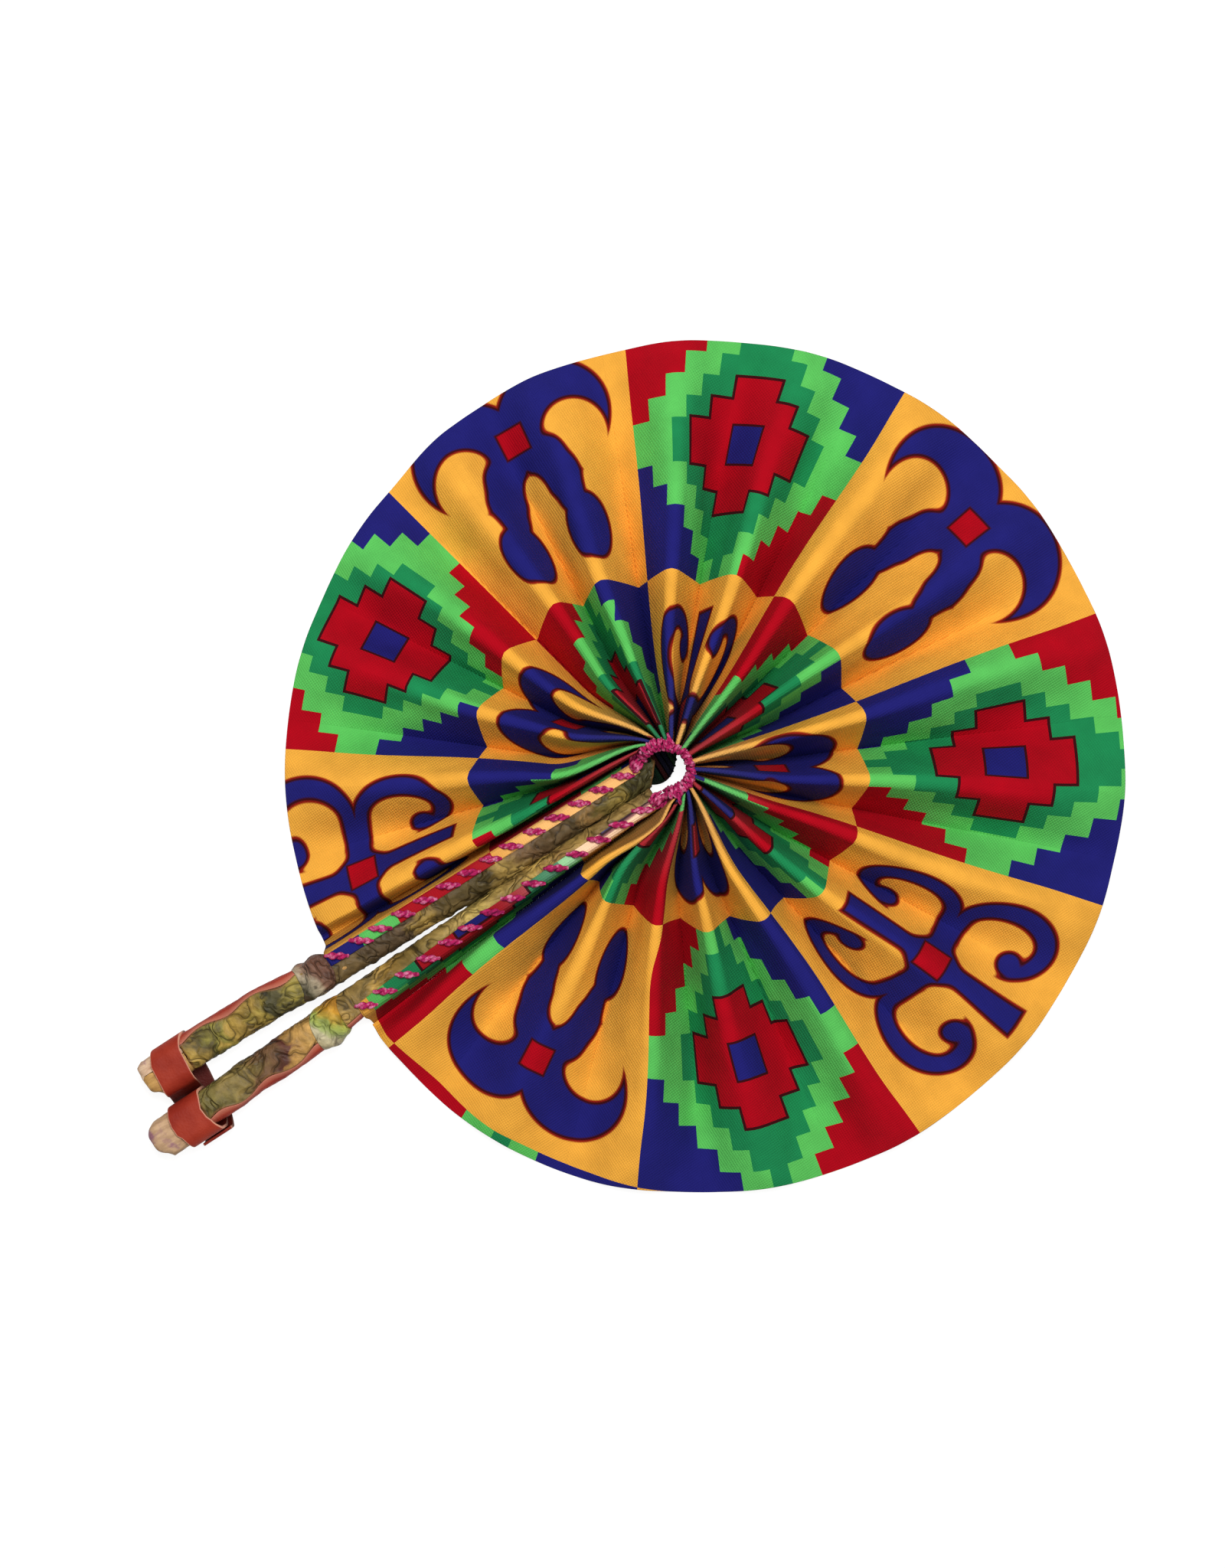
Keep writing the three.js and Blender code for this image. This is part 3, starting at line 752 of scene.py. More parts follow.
def spread(share):
    """The first ten grid rows lie inside the lacing, and the last one stays close to the rim."""
    if share > 1 - 0.5 / ROWS:
        return 1.0, 0.0
    inner = max(1 - share / TUCKED, 0)
    return max(0.9985 * (share - TUCKED) / (1 - 1 / ROWS - TUCKED), 0), inner


def heading(ridge):
    """The way a ridge runs from the lacing to the rim."""
    start, end = crease_line(ridge)
    return (end - start).normalized()


def pleat_place(ridge, across, along):
    """A point of one pleat, its place in the print, and its ink strength with painted shade."""
    across = crowded(across)
    along, inner = spread(along)
    point = pleat_point(ridge, across, along, inner)
    return point, squares_at(ridge, across, along), pleat_ink_and_painted_shade(ridge, across, *point[:2], inner)


for ridge in range(1, PLEATS + 1):
    node = f"pleat_{ridge:02d}"

    def place(across, along):
        return pleat_place(ridge, across, along)

    piece, area = cloth_piece(f"cotton_{node}", (COLUMNS, ROWS), place, node, node)
    start, end = crease_line(ridge)
    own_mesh(piece)
print("pleats built:", PLEATS, "last one", round(area * 1e4, 1), "cm2")

# %% [markdown]
# Each end of the strip is hemmed and laid over one stick, then drops down its outer side to the
# first valley. Its section is a bent line, and averaging neighbouring points rounds the bends.

# %% End panels
HEM_HEIGHT = STICK_TOP + 0.5
HEM_SHARE = 0.24
END_GRID = (30, 70)


def hem_width(side, down):
    return 5.2 if side == "a" else mix(4.0, 5.4, ease(60, 120, down))


def outline_at(side, down):
    """The two edges of a stick, so far down from the hub."""
    outline = OUTLINES[side]
    for (low, *low_edges), (high, *high_edges) in zip(outline, outline[1:]):
        if down <= high:
            share = (down - low) / (high - low)
            return [mix(a, b, share) for a, b in zip(low_edges, high_edges)]
    return outline[-1][1:]


def walk(path, share):
    """A point a share of the way along a bent line."""
    lengths = [(b - a).length for a, b in zip(path, path[1:])]
    left = min(max(share, 0), 1) * sum(lengths)
    for (a, b), length in zip(zip(path, path[1:]), lengths):
        if left <= length and length > 0:
            return a.lerp(b, left / length)
        left -= length
    return path[-1].copy()


def rounded(path, share):
    reach = min(0.06, share, 1 - share)
    points = [walk(path, share + reach * step / 3) for step in range(-3, 4)]
    return sum(points, Vector((0, 0))) / len(points)


def end_panel(side, valley, hem_squares, deep, pale, pale_strength):
    """hem_squares are the places of the hem's edges along the print. The hem is paler near the hub, and the
    slope down to the first valley is darkened with painted shade.
    """
    start, end = crease_line(valley)
    outwards = OUTWARDS[side]
    first = OUTLINES[side][0][0] + 0.5

    def place(across, along):
        last = mix(HEM_END, -end.y, ease(-0.5, 0.6, across))
        down = mix(first, last, along)
        far = outline_at(side, down)[1]
        fallen = min(max((start.y + down) / (start.y - end.y), 0), 1)
        valley_x = start.lerp(end, fallen).x
        share = (across + 1) / 2
        point = rounded([
            Vector((far - outwards * hem_width(side, down), HEM_HEIGHT)),
            Vector((far - outwards * 0.8, HEM_HEIGHT)),
            Vector((far + outwards * 0.9, HEM_HEIGHT - 2.6)),
            Vector((mix(far + outwards, valley_x, 0.4), HEM_HEIGHT * 0.4)),
            Vector((valley_x, CLOTH)),
        ], share)
        ripple = 0.35 * noise.noise(Vector((down * 0.12, across * 3, valley)))
        if share < HEM_SHARE:
            square = mix(*hem_squares, share / HEM_SHARE)
        else:
            square = mix(hem_squares[1], rim_share(valley), (share - HEM_SHARE) / (1 - HEM_SHARE))
        on_hem = ease(-0.3, -0.6, across)
        near_hub = ease(90, 45, down)
        # Painted shade: off the hem, the slope down to the valley is darkened to 0.62.
        ink_and_painted_shade = mix(0.62, mix(deep, pale, near_hub), on_hem), mix(1.0, pale_strength, near_hub * on_hem)
        return (point.x, -down, max(point.y + ripple, CLOTH)), (square, 0), ink_and_painted_shade

    piece, area = cloth_piece(f"cotton_end_{side}", END_GRID, place, f"end_panel_{side}", f"handle_{side}")


end_panel("a", 0.5, (-1.05, -1.01), 0.95, 1.12, 0.88)
end_panel("b", PLEATS + 0.5, (8.46, 8.42), 0.8, 1.25, 0.6)

# %% [markdown]
# The lacing and the stitches are two-ply acrylic yarn, magenta with paler flecks. Each ply is a
# curve wound round the yarn's path and given a round section, so the twist is real geometry.

# %% Yarn
MAGENTA = "#B01C5A"
PALE_PINK = "#DC8CAC"
DEEP_PLUM = "#66103A"


def flecked_yarn():
    material, tree, shader = new_material("two_ply_acrylic_yarn")
    point = add(tree, "TexCoord").node.outputs["Object"]
    broad = add(tree, "TexNoise", point, sockets={"Scale": 420.0, "Detail": 3.0, "Roughness": 0.6})
    fleck = add(tree, "MapRange", broad, 0.50, 0.66, 0.0, 0.85)
    shadow = add(tree, "MapRange", broad, 0.46, 0.34, 0.0, 0.8)
    look = paint(tree, MAGENTA, PALE_PINK, fleck)
    look = paint(tree, look, DEEP_PLUM, shadow)
    hairs = add(tree, "TexNoise", point, sockets={"Scale": 2200.0, "Detail": 2.0})
    finish(tree, shader, look, hairs, 0.8, 0.2, 0.85, 0.2)
    return material


yarn_finish = flecked_yarn()
PLIES = 2
TWIST = 0.9  # radians for each millimetre
POINT_SPACE = 0.55
PLY_RADIUS = 0.58  # as a share of the yarn's radius
PLY_OFFSET = 0.5


def yarn_piece(name, strands, radius, node, body):
    """Strands are lists of points in millimetres; each becomes plies that wind round it."""
    curve = bpy.data.curves.new(name, "CURVE")
    curve.dimensions = "3D"
    curve.bevel_depth = radius * PLY_RADIUS * MM
    curve.bevel_resolution = 1
    curve.use_fill_caps = True
    for number, strand in enumerate(strands):
        points = [Vector(p) for p in strand]
        length = sum((b - a).length for a, b in zip(points, points[1:]))
        count = max(int(length / POINT_SPACE), 6)
        path = [walk(points, k / count) for k in range(count + 1)]
        for ply in range(PLIES):
            spline = curve.splines.new("POLY")
            spline.points.add(count)
            for k, point in enumerate(path):
                along = (path[min(k + 1, count)] - path[max(k - 1, 0)]).normalized()
                side = along.cross(Vector((0.13, 0.21, 1))).normalized()
                lift = side.cross(along)
                angle = 2 * math.pi * ply / PLIES + TWIST * k * length / count + number
                taper = min(1, 3 * k / count, 3 * (count - k) / count)
                offset = (side * math.cos(angle) + lift * math.sin(angle)) * radius * PLY_OFFSET
                spline.points[k].co = (*at(*(point + offset * max(taper, 0.3))), 1)
                spline.points[k].radius = 0.6 + 0.4 * taper
    holder = bpy.data.objects.new(name, curve)
    scene.collection.objects.link(holder)
    bpy.context.view_layer.update()
    mesh = bpy.data.meshes.new_from_object(holder.evaluated_get(bpy.context.evaluated_depsgraph_get()))
    bpy.data.objects.remove(holder)
    mesh.name = name
    mesh.materials.clear()
    mesh.materials.append(yarn_finish)
    for face in mesh.polygons:
        face.use_smooth = True
    return fitted(name, mesh, node, body)


# %% [markdown]
# The whip stitches bind each hem to the stick's leather: one slanted dash about every 10 mm, bedded
# at both ends, where the needle went through.

# %% Whip stitches
STITCH_PITCH = 10.1
STITCH_LENGTH = 9
STITCH_SLANT = 59
STITCH_YARN = 1.5
STITCH_STRAY = 1.6
STITCH_ARCH = 1.25


def whip_stitches(side):
    start = OUTLINES[side][0][0] + 7
    count = int((HEM_END - start) / STITCH_PITCH)
    outwards = OUTWARDS[side]
    strands = []
    for k in range(count + 1):
        down = start + k * STITCH_PITCH + STITCH_STRAY * noise.noise(Vector((k * 1.7, 3.1, outwards)))
        middle = outline_at(side, down)[1] - outwards * (hem_width(side, down) / 2 + 0.2)
        slant = math.radians(STITCH_SLANT + 7 * noise.noise(Vector((k * 2.3, 8.4, outwards))))
        half = STITCH_LENGTH / 2 * (1 + 0.12 * noise.noise(Vector((k * 1.1, 5.5, outwards))))
        strand = []
        for step in range(-3, 4):
            reach = half * step / 3
            arch = STITCH_ARCH * math.cos(math.pi / 2 * step / 3) ** 0.6 if abs(step) < 3 else 0
            x, y = middle + reach * math.cos(slant), -down + reach * math.sin(slant)
            strand.append((x, y, HEM_HEIGHT + 0.1 + arch))
        strands.append(strand)
    yarn_piece(f"yarn_stitches_{side}", strands, STITCH_YARN, f"whip_stitch_{side}", f"handle_{side}")
    print("stitches on side", side, len(strands))


whip_stitches("a")
whip_stitches("b")

# %% [markdown]
# At the hub two yarns run side by side over the pleats, and a third is cast over both at every
# ridge. They are made pleat by pleat, so that they close up with the cloth as the fan folds.

# %% Hub lacing
LACING_HEIGHT = 26.6
LACING_END_HEIGHT = 17.5
LACING_YARN = 1.15
# Place and half width of the yarn's band at a crease, as shares of the lacing ring
LACING_BAND = [
    (1, 0.76), (3.5, 0.68), (7.5, 0.64), (9.5, 0.75), (12, 0.74), (14, 0.68), (16, 0.61), (18, 0.63),
    (20, 0.74),
]
LACING_HALF = [(1, 0.15), (5, 0.15), (8, 0.10), (11, 0.10), (14, 0.13), (20, 0.15)]


def band_place(crease, across, height):
    """A point of the lacing. across runs from -1 at its inner edge to 1 at its outer edge."""
    scale = along_table(LACING_BAND, crease) + across * along_table(LACING_HALF, crease)
    return (*ring_point(crease, scale), height)


def lacing_height(crease):
    from_end = min(crease - 0.4, PLEATS + 0.6 - crease) / (PLEATS + 0.2)
    return mix(LACING_END_HEIGHT, LACING_HEIGHT + 0.8 * math.sin(crease * 1.9), ease(0, 0.09, from_end))


for ridge in range(1, PLEATS + 1):
    low, high = ridge - 0.5, ridge + 0.5
    first = low if ridge > 1 else 0.35
    last = high if ridge < PLEATS else PLEATS + 0.65
    steps = [mix(first - 0.04, last + 0.04, k / 8) for k in range(9)]
    inner = [band_place(t, -0.45 + 0.25 * math.sin(t * 5.1), lacing_height(t) - 1.8) for t in steps]
    outer = [band_place(t, 0.45 + 0.25 * math.sin(t * 3.3 + 1), lacing_height(t) - 0.2) for t in steps]
    rise = lacing_height(ridge)
    lean = 0.75 + 0.2 * math.sin(ridge * 2.7)
    cast = [
        band_place(ridge + 0.1 - lean * turn, across, rise + lift)
        for turn, across, lift in (
            (0.55, -1.0, -5.0), (0.45, -1.0, -2.6), (0.25, -0.55, 0.0), (0.0, 0.1, 1.1), (-0.3, 0.75, 0.7),
            (-0.5, 1.05, -1.2), (-0.6, 1.15, -3.6),
        )
    ]
    piece = yarn_piece(
        f"yarn_lacing_{ridge:02d}", [inner, outer, cast], LACING_YARN, "hub_lacing", f"pleat_{ridge:02d}",
    )
    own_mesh(piece)

for side, crease in (("a", 0.45), ("b", PLEATS + 0.55)):
    end = Vector(band_place(crease, 0, 18.5))
    first, _, far = OUTLINES[side][0]
    step = 2.6 * OUTWARDS[side]
    stitch = Vector((far - step, -first - 3, HEM_HEIGHT + 1.0))
    strands = [
        [end + lean, end.lerp(stitch, 0.5) + lean * 1.3 + Vector((0, 0, 1.4)), stitch + lean]
        for lean in map(Vector, ((-1.2, 0, 0), (0, 0, 0.7), (1.2, 0, 0), (step, 0.8, -1)))
    ]
    yarn_piece(f"yarn_lacing_end_{side}", strands, LACING_YARN, "hub_lacing", f"handle_{side}")

# %% [markdown]
# A knot stands out of the lacing at the left of the hub, and a short tail at the right.

# %% Knot and tail
KNOT_YARN = 0.9
TAIL_LENGTH = 4.5


def knot(name, node, body, crease, lean):
    """Two loops on the lacing at a crease, and a tail that leans away from them."""
    base = Vector(band_place(crease, 0.6, lacing_height(crease) + 1.0))
    loops = []
    for tilt in (0, 70):
        loop = []
        for step in range(9):
            angle = 2 * math.pi * step / 8
            flat = Vector((1.5 * math.cos(angle), 1.2 * math.sin(angle), 0.7 + 0.7 * math.sin(angle + tilt)))
            loop.append(base + Matrix.Rotation(math.radians(tilt), 3, "Z") @ flat)
        loops.append(loop)
    reach = Vector(lean).normalized() * TAIL_LENGTH
    tail = [base + reach * k / 5 + Vector((0, 0, 1.5 - 0.14 * k * k)) for k in range(6)]
    yarn_piece(name, [*loops, tail], KNOT_YARN, node, body)


knot("yarn_knot", "lacing_knot", "pleat_07", 7, (-0.9, 0.35, 0.25))
knot("yarn_tail", "lacing_tail", "pleat_17", 17, (0.8, -0.3, 0.2))

# %% [markdown]
# Each stick is wrapped in two leathers. The face is a marbled glove leather, crushed while wet, so
# fine dark cracks wander over it about 10 mm apart. Its dye changes along the stick, and is laid
# as patches from the hub down. The back is a plain red-brown vegetable-tanned leather.

# %% Leather finishes
def crushed_leather(name, patches, slant=0.0, crack_share=0.7):
    """Patches are colours along the stick, each with its distance from the hub in millimetres."""
    material, tree, shader = new_material(name)
    point = add(tree, "TexCoord").node.outputs["Object"]
    bent = add(tree, "TexNoise", point, sockets={"Scale": 60.0, "Detail": 2.0})
    place = add(tree, "VectorMath", bent, (0.02, 0.02, 0.02), operation="MULTIPLY")
    place = add(tree, "VectorMath", place, point, operation="ADD")

    first, last = patches[0][0] - 1, patches[-1][0] + 1
    x, y, _ = add(tree, "SeparateXYZ", point).node.outputs
    leaning = add(tree, "Math", x, -slant, y, operation="MULTIPLY_ADD")
    hub = HUB.y - slant * HUB.x
    down = add(tree, "MapRange", leaning, hub - first * MM, hub - last * MM, 0.0, 1.0)
    blotch = add(tree, "TexNoise", place, sockets={"Scale": 95.0, "Detail": 3.0, "Roughness": 0.55})
    ragged = add(tree, "Math", blotch, 0.5, operation="SUBTRACT")
    down = add(tree, "Math", ragged, min(0.6, 32 / (last - first)), down, operation="MULTIPLY_ADD")
    ramp = add(tree, "ValToRGB", down).node
    while len(ramp.color_ramp.elements) < len(patches):
        ramp.color_ramp.elements.new(0.5)
    for element, (distance, code) in zip(ramp.color_ramp.elements, patches):
        element.position = (distance - first) / (last - first)
        element.color = linear(code)

    cloud = add(tree, "TexNoise", place, sockets={"Scale": 210.0, "Detail": 5.0, "Roughness": 0.62})
    tone = add(tree, "MapRange", cloud, 0.3, 0.7, 0.5, 1.4)
    look = add(tree, "HueSaturation", sockets={"Color": ramp.outputs[0], "Value": tone})
    bends = {"Scale": 105.0, "Detail": 2.0, "Roughness": 0.45, "Distortion": 0.6}
    meander = add(tree, "TexNoise", place, sockets=bends)
    crack = away(tree, meander, 0.5)
    line = add(tree, "MapRange", crack, 0.0, 0.035, crack_share, 0.0)
    look = paint(tree, look, "#1A1208", line)
    to_edge = add(tree, "SeparateXYZ", add(tree, "UVMap", uv_map="edge"))
    edge = add(tree, "MapRange", to_edge, 0.4, 1.2, 0.8, 0.0)
    look = paint(tree, look, "#7A5530", edge)
    fine = add(tree, "TexNoise", place, sockets={"Scale": 700.0, "Detail": 3.0})
    height = add(tree, "MapRange", crack, 0.0, 0.12, 0.0, 1.0)
    height = add(tree, "Math", fine, 0.3, height, operation="MULTIPLY_ADD")
    finish(tree, shader, look, height, 1.0, 0.8, 0.5, 0.2)
    rough = add(tree, "MapRange", cloud, 0.3, 0.7, 0.45, 0.62)
    tree.links.new(rough, shader.inputs["Roughness"])
    return material


marbled_a = crushed_leather("marbled_glove_leather_a", [
    (6, "#4A4426"), (15, "#46411F"), (21, "#857236"), (29, "#6A5C2E"), (34, "#8A6A3C"), (39, "#54462C"),
    (50, "#5C4A30"), (61, "#6C5236"), (67, "#8A7040"), (72, "#B0924E"), (78, "#8A713A"), (84, "#4A3E22"),
    (97, "#5A4A2A"), (106, "#6E5A32"), (112, "#A08240"), (117, "#5A4834"), (133, "#54442E"), (150, "#6A5634"),
    (160, "#8A6E3A"), (167, "#9A8A40"), (171, "#4A4428"), (178, "#46422A"), (184, "#94803A"), (190, "#8A7034"),
    (197, "#A88A42"), (202, "#8A803A"), (207, "#544A2C"), (214, "#A08440"),
])
marbled_b = crushed_leather("marbled_glove_leather_b", [
    (8, "#8A7244"), (20, "#A0844A"), (34, "#7C6438"), (46, "#A8894A"), (54, "#8A6A3A"), (62, "#B8984E"),
    (74, "#8E7440"), (88, "#B09850"), (97, "#B89C58"), (108, "#8E7640"), (120, "#66562C"), (130, "#86682F"),
    (136, "#B8934A"), (142, "#6C5A34"), (156, "#A8884A"), (168, "#B89050"), (177, "#B88C4C"), (181, "#5A3028"),
    (187, "#6A4C34"), (193, "#64482E"), (199, "#7C6838"), (208, "#857240"), (216, "#766A38"),
], slant=-0.25)
wrap_leather_a = crushed_leather("gathered_scrap_leather_a", [
    (150, "#6E4A3A"), (155, "#7A5A48"), (158, "#B0A084"), (161, "#8A8068"), (163, "#3E3A28"), (166, "#4A3A2A"),
], slant=0.45)
wrap_leather_b = crushed_leather("gathered_scrap_leather_b", [
    (158, "#A8762A"), (164, "#C4902E"), (169, "#B0943C"), (172, "#98A04A"), (175, "#98A45C"), (178, "#B4AA88"),
    (184, "#A89A74"),
], slant=0.8, crack_share=0.35)


def plain_leather():
    material, tree, shader = new_material("red_vegetable_tanned_leather")
    point = add(tree, "TexCoord").node.outputs["Object"]
    cloud = add(tree, "TexNoise", point, sockets={"Scale": 95.0, "Detail": 5.0})
    share = add(tree, "MapRange", cloud, 0.3, 0.7, 0.0, 1.0)
    look = paint(tree, "#842012", "#A03622", share)
    to_edge, dark, _ = add(tree, "SeparateXYZ", add(tree, "UVMap", uv_map="edge")).node.outputs
    edge = add(tree, "MapRange", to_edge, 0.1, 0.5, 0.8, 0.0)
    look = paint(tree, look, "#DDA287", edge)
    # Painted shade: the parts of a strap low towards the table are darkened.
    look = paint(tree, look, "#360604", dark)
    pores = add(tree, "TexVoronoi", point, sockets={"Scale": 1100.0, "Randomness": 1.0})
    height = add(tree, "Math", cloud, 1.5, pores, operation="MULTIPLY_ADD")
    finish(tree, shader, look, height, 0.35, 0.3, 0.6, 0.15)
    return material


red_leather = plain_leather()

# %% [markdown]
# A cover is a grid laid round the stick's section. Ridged noise, which has sharp crests, gives the
# crushed folds, and Solidify the leather's thickness. The UV map called edge tells how far, in
# millimetres, a point lies from the nearest cut edge, which stays paler than the dyed face. Its
# second value is painted shade, which darkens the straps towards the table.

# %% Stick covers
SECTION_POWER = 3  # 2 for a round stick, more for a squarer one
FLAT_BACK = 0.86
LEATHER = 0.8
SEAM_ANGLE = 128
SEAM_SPACE = 3
UNDER_ANGLE = -52
SEAM_WAVE = 3.5
STICK_RADIUS = 7
COVER_GRID = (44, 200)


def section_point(side, down, angle, lift):
    """A point of a stick's section, with leather that stands out by lift."""
    near, far = outline_at(side, down)
    half_width = (near - far) / 2
    half_height = (STICK_TOP - STICK_BOTTOM) / 2 + lift
    power = 2.0 if math.cos(angle) > 0 and down < 150 else SECTION_POWER
    bulge = [math.copysign(abs(v) ** (2 / power), v) for v in (math.cos(angle), math.sin(angle))]
    rise = bulge[1] if bulge[1] > 0 else max(bulge[1] / FLAT_BACK, -1)
    return (
        (near + far) / 2 + bulge[0] * (half_width + math.copysign(lift, half_width)),
        -down,
        (STICK_TOP + STICK_BOTTOM) / 2 + half_height * rise,
    )


def crush(angle, down, seed, size):
    """How far crushed leather stands out, in millimetres."""
    place = Vector((angle * STICK_RADIUS / size, down / size, seed))
    fold = 1 - abs(noise.noise(place)) * 2
    small = 1 - abs(noise.noise(place * 2.6)) * 2
    return fold * 0.6 + small * 0.4 - 0.6


def grid_piece(name, grid, place, material, node, body, closed=False):
    """place gives a point and its distance to a cut edge, 0 to 1 round the stick and along it."""
    def marked(across, along):
        point, edge = place((across + 1) / 2, along)
        return point, (edge, 0)

    form = laid_grid(grid, marked, ("edge",))
    if closed:
        bmesh.ops.remove_doubles(form, verts=form.verts, dist=1e-6)
        bmesh.ops.recalc_face_normals(form, faces=form.faces)
    middle = sum((vertex.co for vertex in form.verts), Vector()) / len(form.verts)
    outward = sum(
        (face.calc_center_median() - middle).dot(face.normal) * face.calc_area() for face in form.faces
    )
    if outward < 0:
        bmesh.ops.reverse_faces(form, faces=form.faces)
    thicken(shown(name, form, material, node, body), LEATHER)


def stick_cover(kind, side, angles, material, depth, seed, tongue=0):
    """angles are the seams that the cover reaches; at the hub a face cover ends in a tongue."""
    start, inner, _ = OUTLINES[side][0]
    end = OUTLINES[side][-1][0]
    turn = math.radians(angles[1] - angles[0])

    def place(around, along):
        angle = math.radians(mix(*angles, around))
        inwards = inner - section_point(side, start, angle, 0)[0]
        first = start - tongue * min(max(inwards / 7.5, 0), 1) * ease(0, 0.3, math.sin(angle))
        down = mix(first, end, along)
        wave = SEAM_WAVE * noise.noise(Vector((down * 0.11, seed, 0)))
        wave += (6 + 13 * math.cos(math.radians((down - 172) * 15.6))) * ease(158, 168, down)
        angle -= math.radians(wave) * around
        swell = depth * crush(angle, down, seed, 9) * ease(0, 0.05, min(around, 1 - around))
        edge = min((1 - around) * abs(turn) * STICK_RADIUS, down - first, end - down)
        shown_edge = 0.32 + 0.06 * edge if material == red_leather else edge
        return section_point(side, down, angle, swell), shown_edge

    node = f"{kind}_leather_{side}"
    grid_piece(f"leather_{kind}_{side}", COVER_GRID, place, material, node, f"handle_{side}")


face_angles = (UNDER_ANGLE, SEAM_ANGLE)
back_angles = (360 + UNDER_ANGLE - SEAM_SPACE, SEAM_ANGLE + SEAM_SPACE)
for side, marbled, seed, tongue in (("a", marbled_a, 3.3, 6.5), ("b", marbled_b, 8.7, 0)):
    stick_cover("face", side, face_angles, marbled, 1.15, seed, tongue)
    stick_cover("back", side, back_angles, red_leather, 0.35, seed + 2)

# %% [markdown]
# Where the rim of the leaf ends, a scrap of leather is wound round each stick and pulled tight, so
# it gathers into lumps between a few deep folds.

# %% Rim wraps
UNCUT = 5.0  # stands for a place far from any cut edge
WRAP_GRID = (90, 40)


def rim_wrap(side, start, width, material, size, seed):
    def place(around, along):
        angle = 2 * math.pi * around
        down = start + width * along + 1.2 * math.sin(angle + seed) + 0.9 * math.sin(angle * 2 + seed)
        circle = Vector((math.cos(angle), math.sin(angle), 1.4 * along)) * size + Vector((0, 0, seed))
        lump = 1.1 * (1 - abs(noise.noise(circle)) * 2) + 0.5 * noise.noise(circle * 2.4)
        fold = 0.9 * math.sin(math.pi * along) ** 0.6
        roll = 0.6 * math.sin(math.pi * along) * math.sin(2.5 * math.pi * along + 1.5 * angle + seed)
        lift = 0.25 + fold + max(lump, -0.5) * 0.6 * ease(0, 0.15, min(along, 1 - along)) + roll
        lift *= 1 - 0.5 * max(math.cos(angle), 0)
        x, y, z = section_point(side, down, angle, lift)
        return (x, y, max(z, 0.1)), UNCUT

    grid_piece(f"leather_wrap_{side}", WRAP_GRID, place, material, f"rim_wrap_{side}", f"handle_{side}", True)


rim_wrap("a", 151.5, 14, wrap_leather_a, 1.5, 1.3)
rim_wrap("b", 157.5, 13, wrap_leather_b, 0.9, 4.6)

# %% [markdown]
# The keeper is one strap of red leather, cut straight. It starts at a fold beside the right stick,
# runs behind it, goes round the end of the left stick and is sewn to itself. The band round the
# right stick is a second strap. Each is a bent line that is extruded along the handle.

# %% Straps
STRAP = 1.2
SPACE = 0.3  # between a strap and the stick that it holds
CORNER = 5
CORNER_STEPS = 7
LENGTH_STEPS = 10
WORN = 0.3


def arc(x, z, from_angle, to_angle):
    """A rounded corner of a strap about a centre."""
    angles = [math.radians(mix(from_angle, to_angle, k / CORNER_STEPS)) for k in range(CORNER_STEPS + 1)]
    return [(x + CORNER * math.cos(angle), z + CORNER * math.sin(angle)) for angle in angles]


def sagging(points, first, last):
    """Adds to each point of a path how much lower the strap's edge lies there."""
    steps = max(len(points) - 1, 1)
    return [(x, z, mix(first, last, k / steps)) for k, (x, z) in enumerate(points)]


def strap(name, node, body, path, start, width, closed, seed):
    """path gives the strap's section, and start and width how far along the handle it lies."""
    form = bmesh.new()
    verts = [form.verts.new((x, 0, z)) for x, z, _ in path]
    lower = {(round(x, 3), round(z, 3)): drop for x, z, drop in path}
    for a, b in zip(verts, verts[1:] + (verts[:1] if closed else [])):
        form.edges.new((a, b))
    edges = list(form.edges)
    for _ in range(LENGTH_STEPS):
        grown = bmesh.ops.extrude_edge_only(form, edges=edges)["geom"]
        edges = [part for part in grown if isinstance(part, bmesh.types.BMEdge)]
        moved = [part for part in grown if isinstance(part, bmesh.types.BMVert)]
        bmesh.ops.translate(form, verts=moved, vec=(0, -1, 0))
    layer = form.loops.layers.uv.new("edge")
    for face in form.faces:
        for loop in face.loops:
            share = -loop.vert.co.y / LENGTH_STEPS
            # The second value is painted shade, strongest where the strap runs low towards the table.
            loop[layer].uv = (min(share, 1 - share) * width, 0.86 * ease(12, 5, loop.vert.co.z))
    for vertex in form.verts:
        x, share, z = vertex.co.x, -vertex.co.y / LENGTH_STEPS, vertex.co.z
        wave = 0.5 * noise.noise(Vector((x * 0.2, z * 0.2, seed + round(share)))) * abs(2 * share - 1)
        down = start + share * width + lower[round(x, 3), round(z, 3)] + wave
        flare = 0.25 * noise.noise(Vector((x * 0.3, down * 0.3, z * 0.3 + seed)))
        vertex.co = at(x, -down, max(z + flare, STRAP / 2))
    bmesh.ops.recalc_face_normals(form, faces=form.faces)
    piece = shown(name, form, red_leather, node, body)
    thicken(piece, STRAP, 0)
    worn = piece.modifiers.new("worn_edge", "BEVEL")
    worn.width = WORN * MM
    worn.segments = 2
    worn.limit_method = "ANGLE"


half = STRAP / 2
# The sides and the underside of the right stick, where the band goes round it
left, right = 4.8 - SPACE - half, 20.5 + SPACE + half
low, high = 3 - SPACE - half, STICK_TOP + SPACE + half
band_path = (
    sagging(arc(right - CORNER, low + CORNER, -90, 0), 0, 2)
    + sagging(arc(right - CORNER, high - CORNER, 0, 90), 3, 5)
    + sagging([(x, high) for x in (14.5, 12.5, 10.5)], 6, 6.2)
    + sagging(arc(left + CORNER, high - CORNER, 90, 180), 5.6, 3)
    + sagging(arc(left + CORNER, low + CORNER, 180, 270), 2, 0)
)
strap("leather_band", "keeper_band", "handle_b", band_path, 217.2, 13.9, True, 2.0)

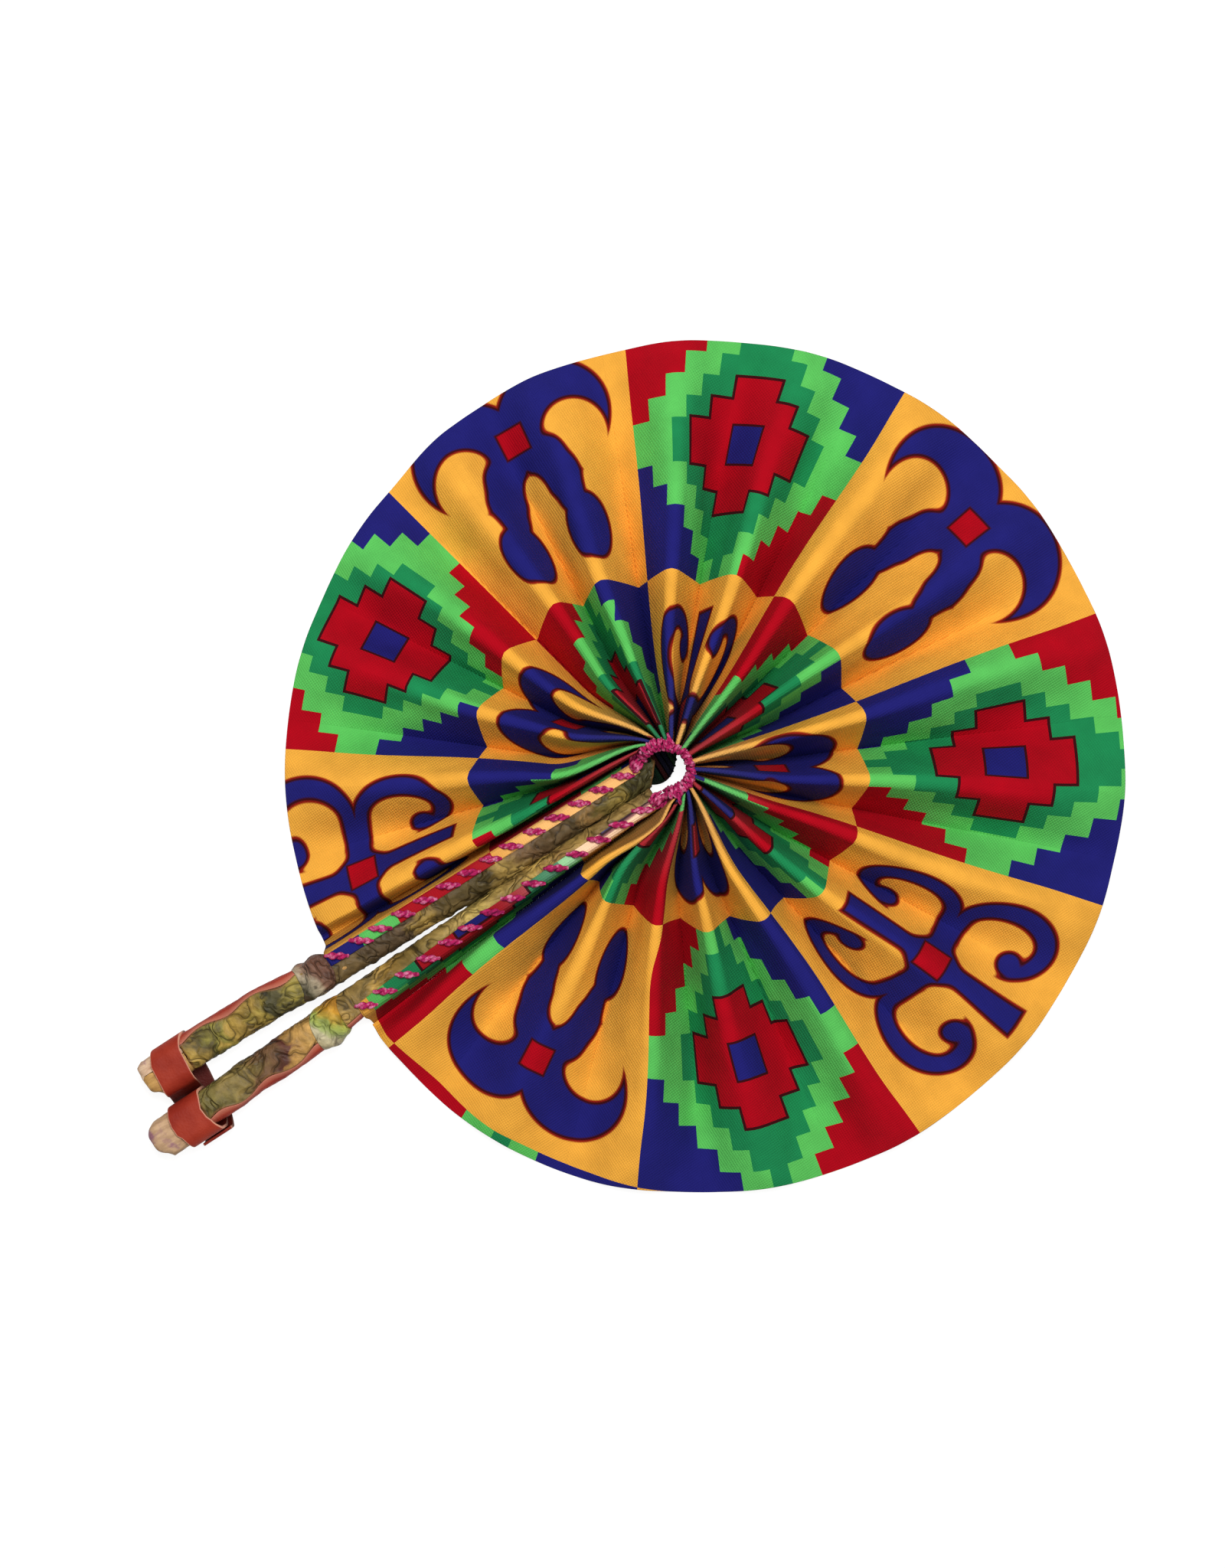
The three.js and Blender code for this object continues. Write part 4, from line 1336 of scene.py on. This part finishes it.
# The same of the left stick, where the keeper goes round it
left, right = -17.3 - SPACE - half, -1.4 + SPACE + half
low = 1.5 - SPACE - half
fold_x = KEEPER_REACH - half
keeper_path = (
    sagging([(fold_x, 9.0)] + arc(fold_x - CORNER, low + CORNER, 0, -90), 5.0, 3.0)
    + sagging([(x, low) for x in (14, 9, 4, 0, -4, -8, -12)], 2.4, 0)
    + sagging(arc(left + CORNER, low + CORNER, 270, 180), 0, 0.8)
    + sagging(arc(left + CORNER, high - CORNER, 180, 90), 1.6, 5.0)
    + sagging(arc(right - CORNER, high - CORNER, 90, 10), 5.9, 6.2)
    + sagging([(right + 0.6, 8), (right + 2.2, 5), (right + 4.2, low + STRAP + 0.6)], 6.3, 6.6)
)
strap("leather_keeper", "keeper_loop", "keeper", keeper_path, 212.8, 13.2, False, 6.0)

# %% [markdown]
# The sticks are split from a light hardwood and left bare at their ends: straight grain along the
# stick, a rough sawn end and a purple dye stain where the leather bled on it.

# %% Wood
NO_STAIN = 300  # a distance from the hub past the end of every stick


def split_wood(name, light, dark, stained_from=NO_STAIN):
    material, tree, shader = new_material(name)
    point = add(tree, "TexCoord").node.outputs["Object"]
    stretched = add(tree, "Mapping", point, (0, 0, 0), (0, 0, 0), (460, 130, 460))
    grain = add(tree, "TexNoise", stretched, sockets={"Scale": 1.0, "Detail": 5.0, "Roughness": 0.6})
    share = add(tree, "MapRange", grain, 0.35, 0.68, 0.0, 1.0)
    look = paint(tree, light, dark, share)
    stain = add(tree, "TexNoise", point, sockets={"Scale": 150.0, "Detail": 3.0})
    y = add(tree, "SeparateXYZ", point).node.outputs[1]
    start = HUB.y - stained_from * MM
    low = add(tree, "MapRange", y, start, start - 3 * MM, 0.0, 0.14)
    stain = add(tree, "Math", stain, low, operation="ADD")
    stained = add(tree, "MapRange", stain, 0.58, 0.70, 0.0, 0.75)
    look = paint(tree, look, "#7C4468", stained)
    finish(tree, shader, look, grain, 0.6, 0.4, 0.7)
    return material


yellow_wood = split_wood("split_wood_yellow", "#CC9E58", "#9A6E34")
pink_wood = split_wood("split_wood_pink", "#DCBC9C", "#B08868")
pale_wood = split_wood("split_wood_pale", "#C6A27C", "#94704E", stained_from=243.5)
SAW_MARKS = 0.35
END_ROUNDING = 3.5


def bare_stick(name, node, side, material, roundness, seed):
    """A copy of the CAD stick with finer, rougher ends."""
    leather_end, near, far = OUTLINES[side][-1]
    form = bmesh.new()
    form.from_mesh(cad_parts[node].data)
    bmesh.ops.remove_doubles(form, verts=form.verts, dist=1e-5)
    bare = [
        edge for edge in form.edges
        if all((vertex.co.y - HUB.y) / MM < -leather_end + 1 for vertex in edge.verts)
    ]
    bmesh.ops.subdivide_edges(form, edges=bare, cuts=3, use_grid_fill=True, smooth=0.0)
    stick_end = max((HUB.y - vertex.co.y) / MM for vertex in form.verts)
    for vertex in form.verts:
        down = (HUB.y - vertex.co.y) / MM
        if down > leather_end + 2:
            place = vertex.co * 260 + Vector((seed, 0, 0))
            vertex.co += vertex.normal * SAW_MARKS * MM * noise.noise(place)
            off_middle = abs(((vertex.co.x - HUB.x) / MM - (near + far) / 2) / (near - far) * 2)
            rounding = min(off_middle, 1) ** roundness * ease(leather_end + 14, stick_end, down)
            vertex.co.y += END_ROUNDING * MM * rounding
    shown(name, form, material, node, f"handle_{side}")


bare_stick("wood_stick_a", "stick_a", "a", yellow_wood, 7, 1)
bare_stick("wood_splint_a", "stick_a_splint", "a", pink_wood, 7, 5)
bare_stick("wood_stick_b", "stick_b", "b", pale_wood, 3, 9)
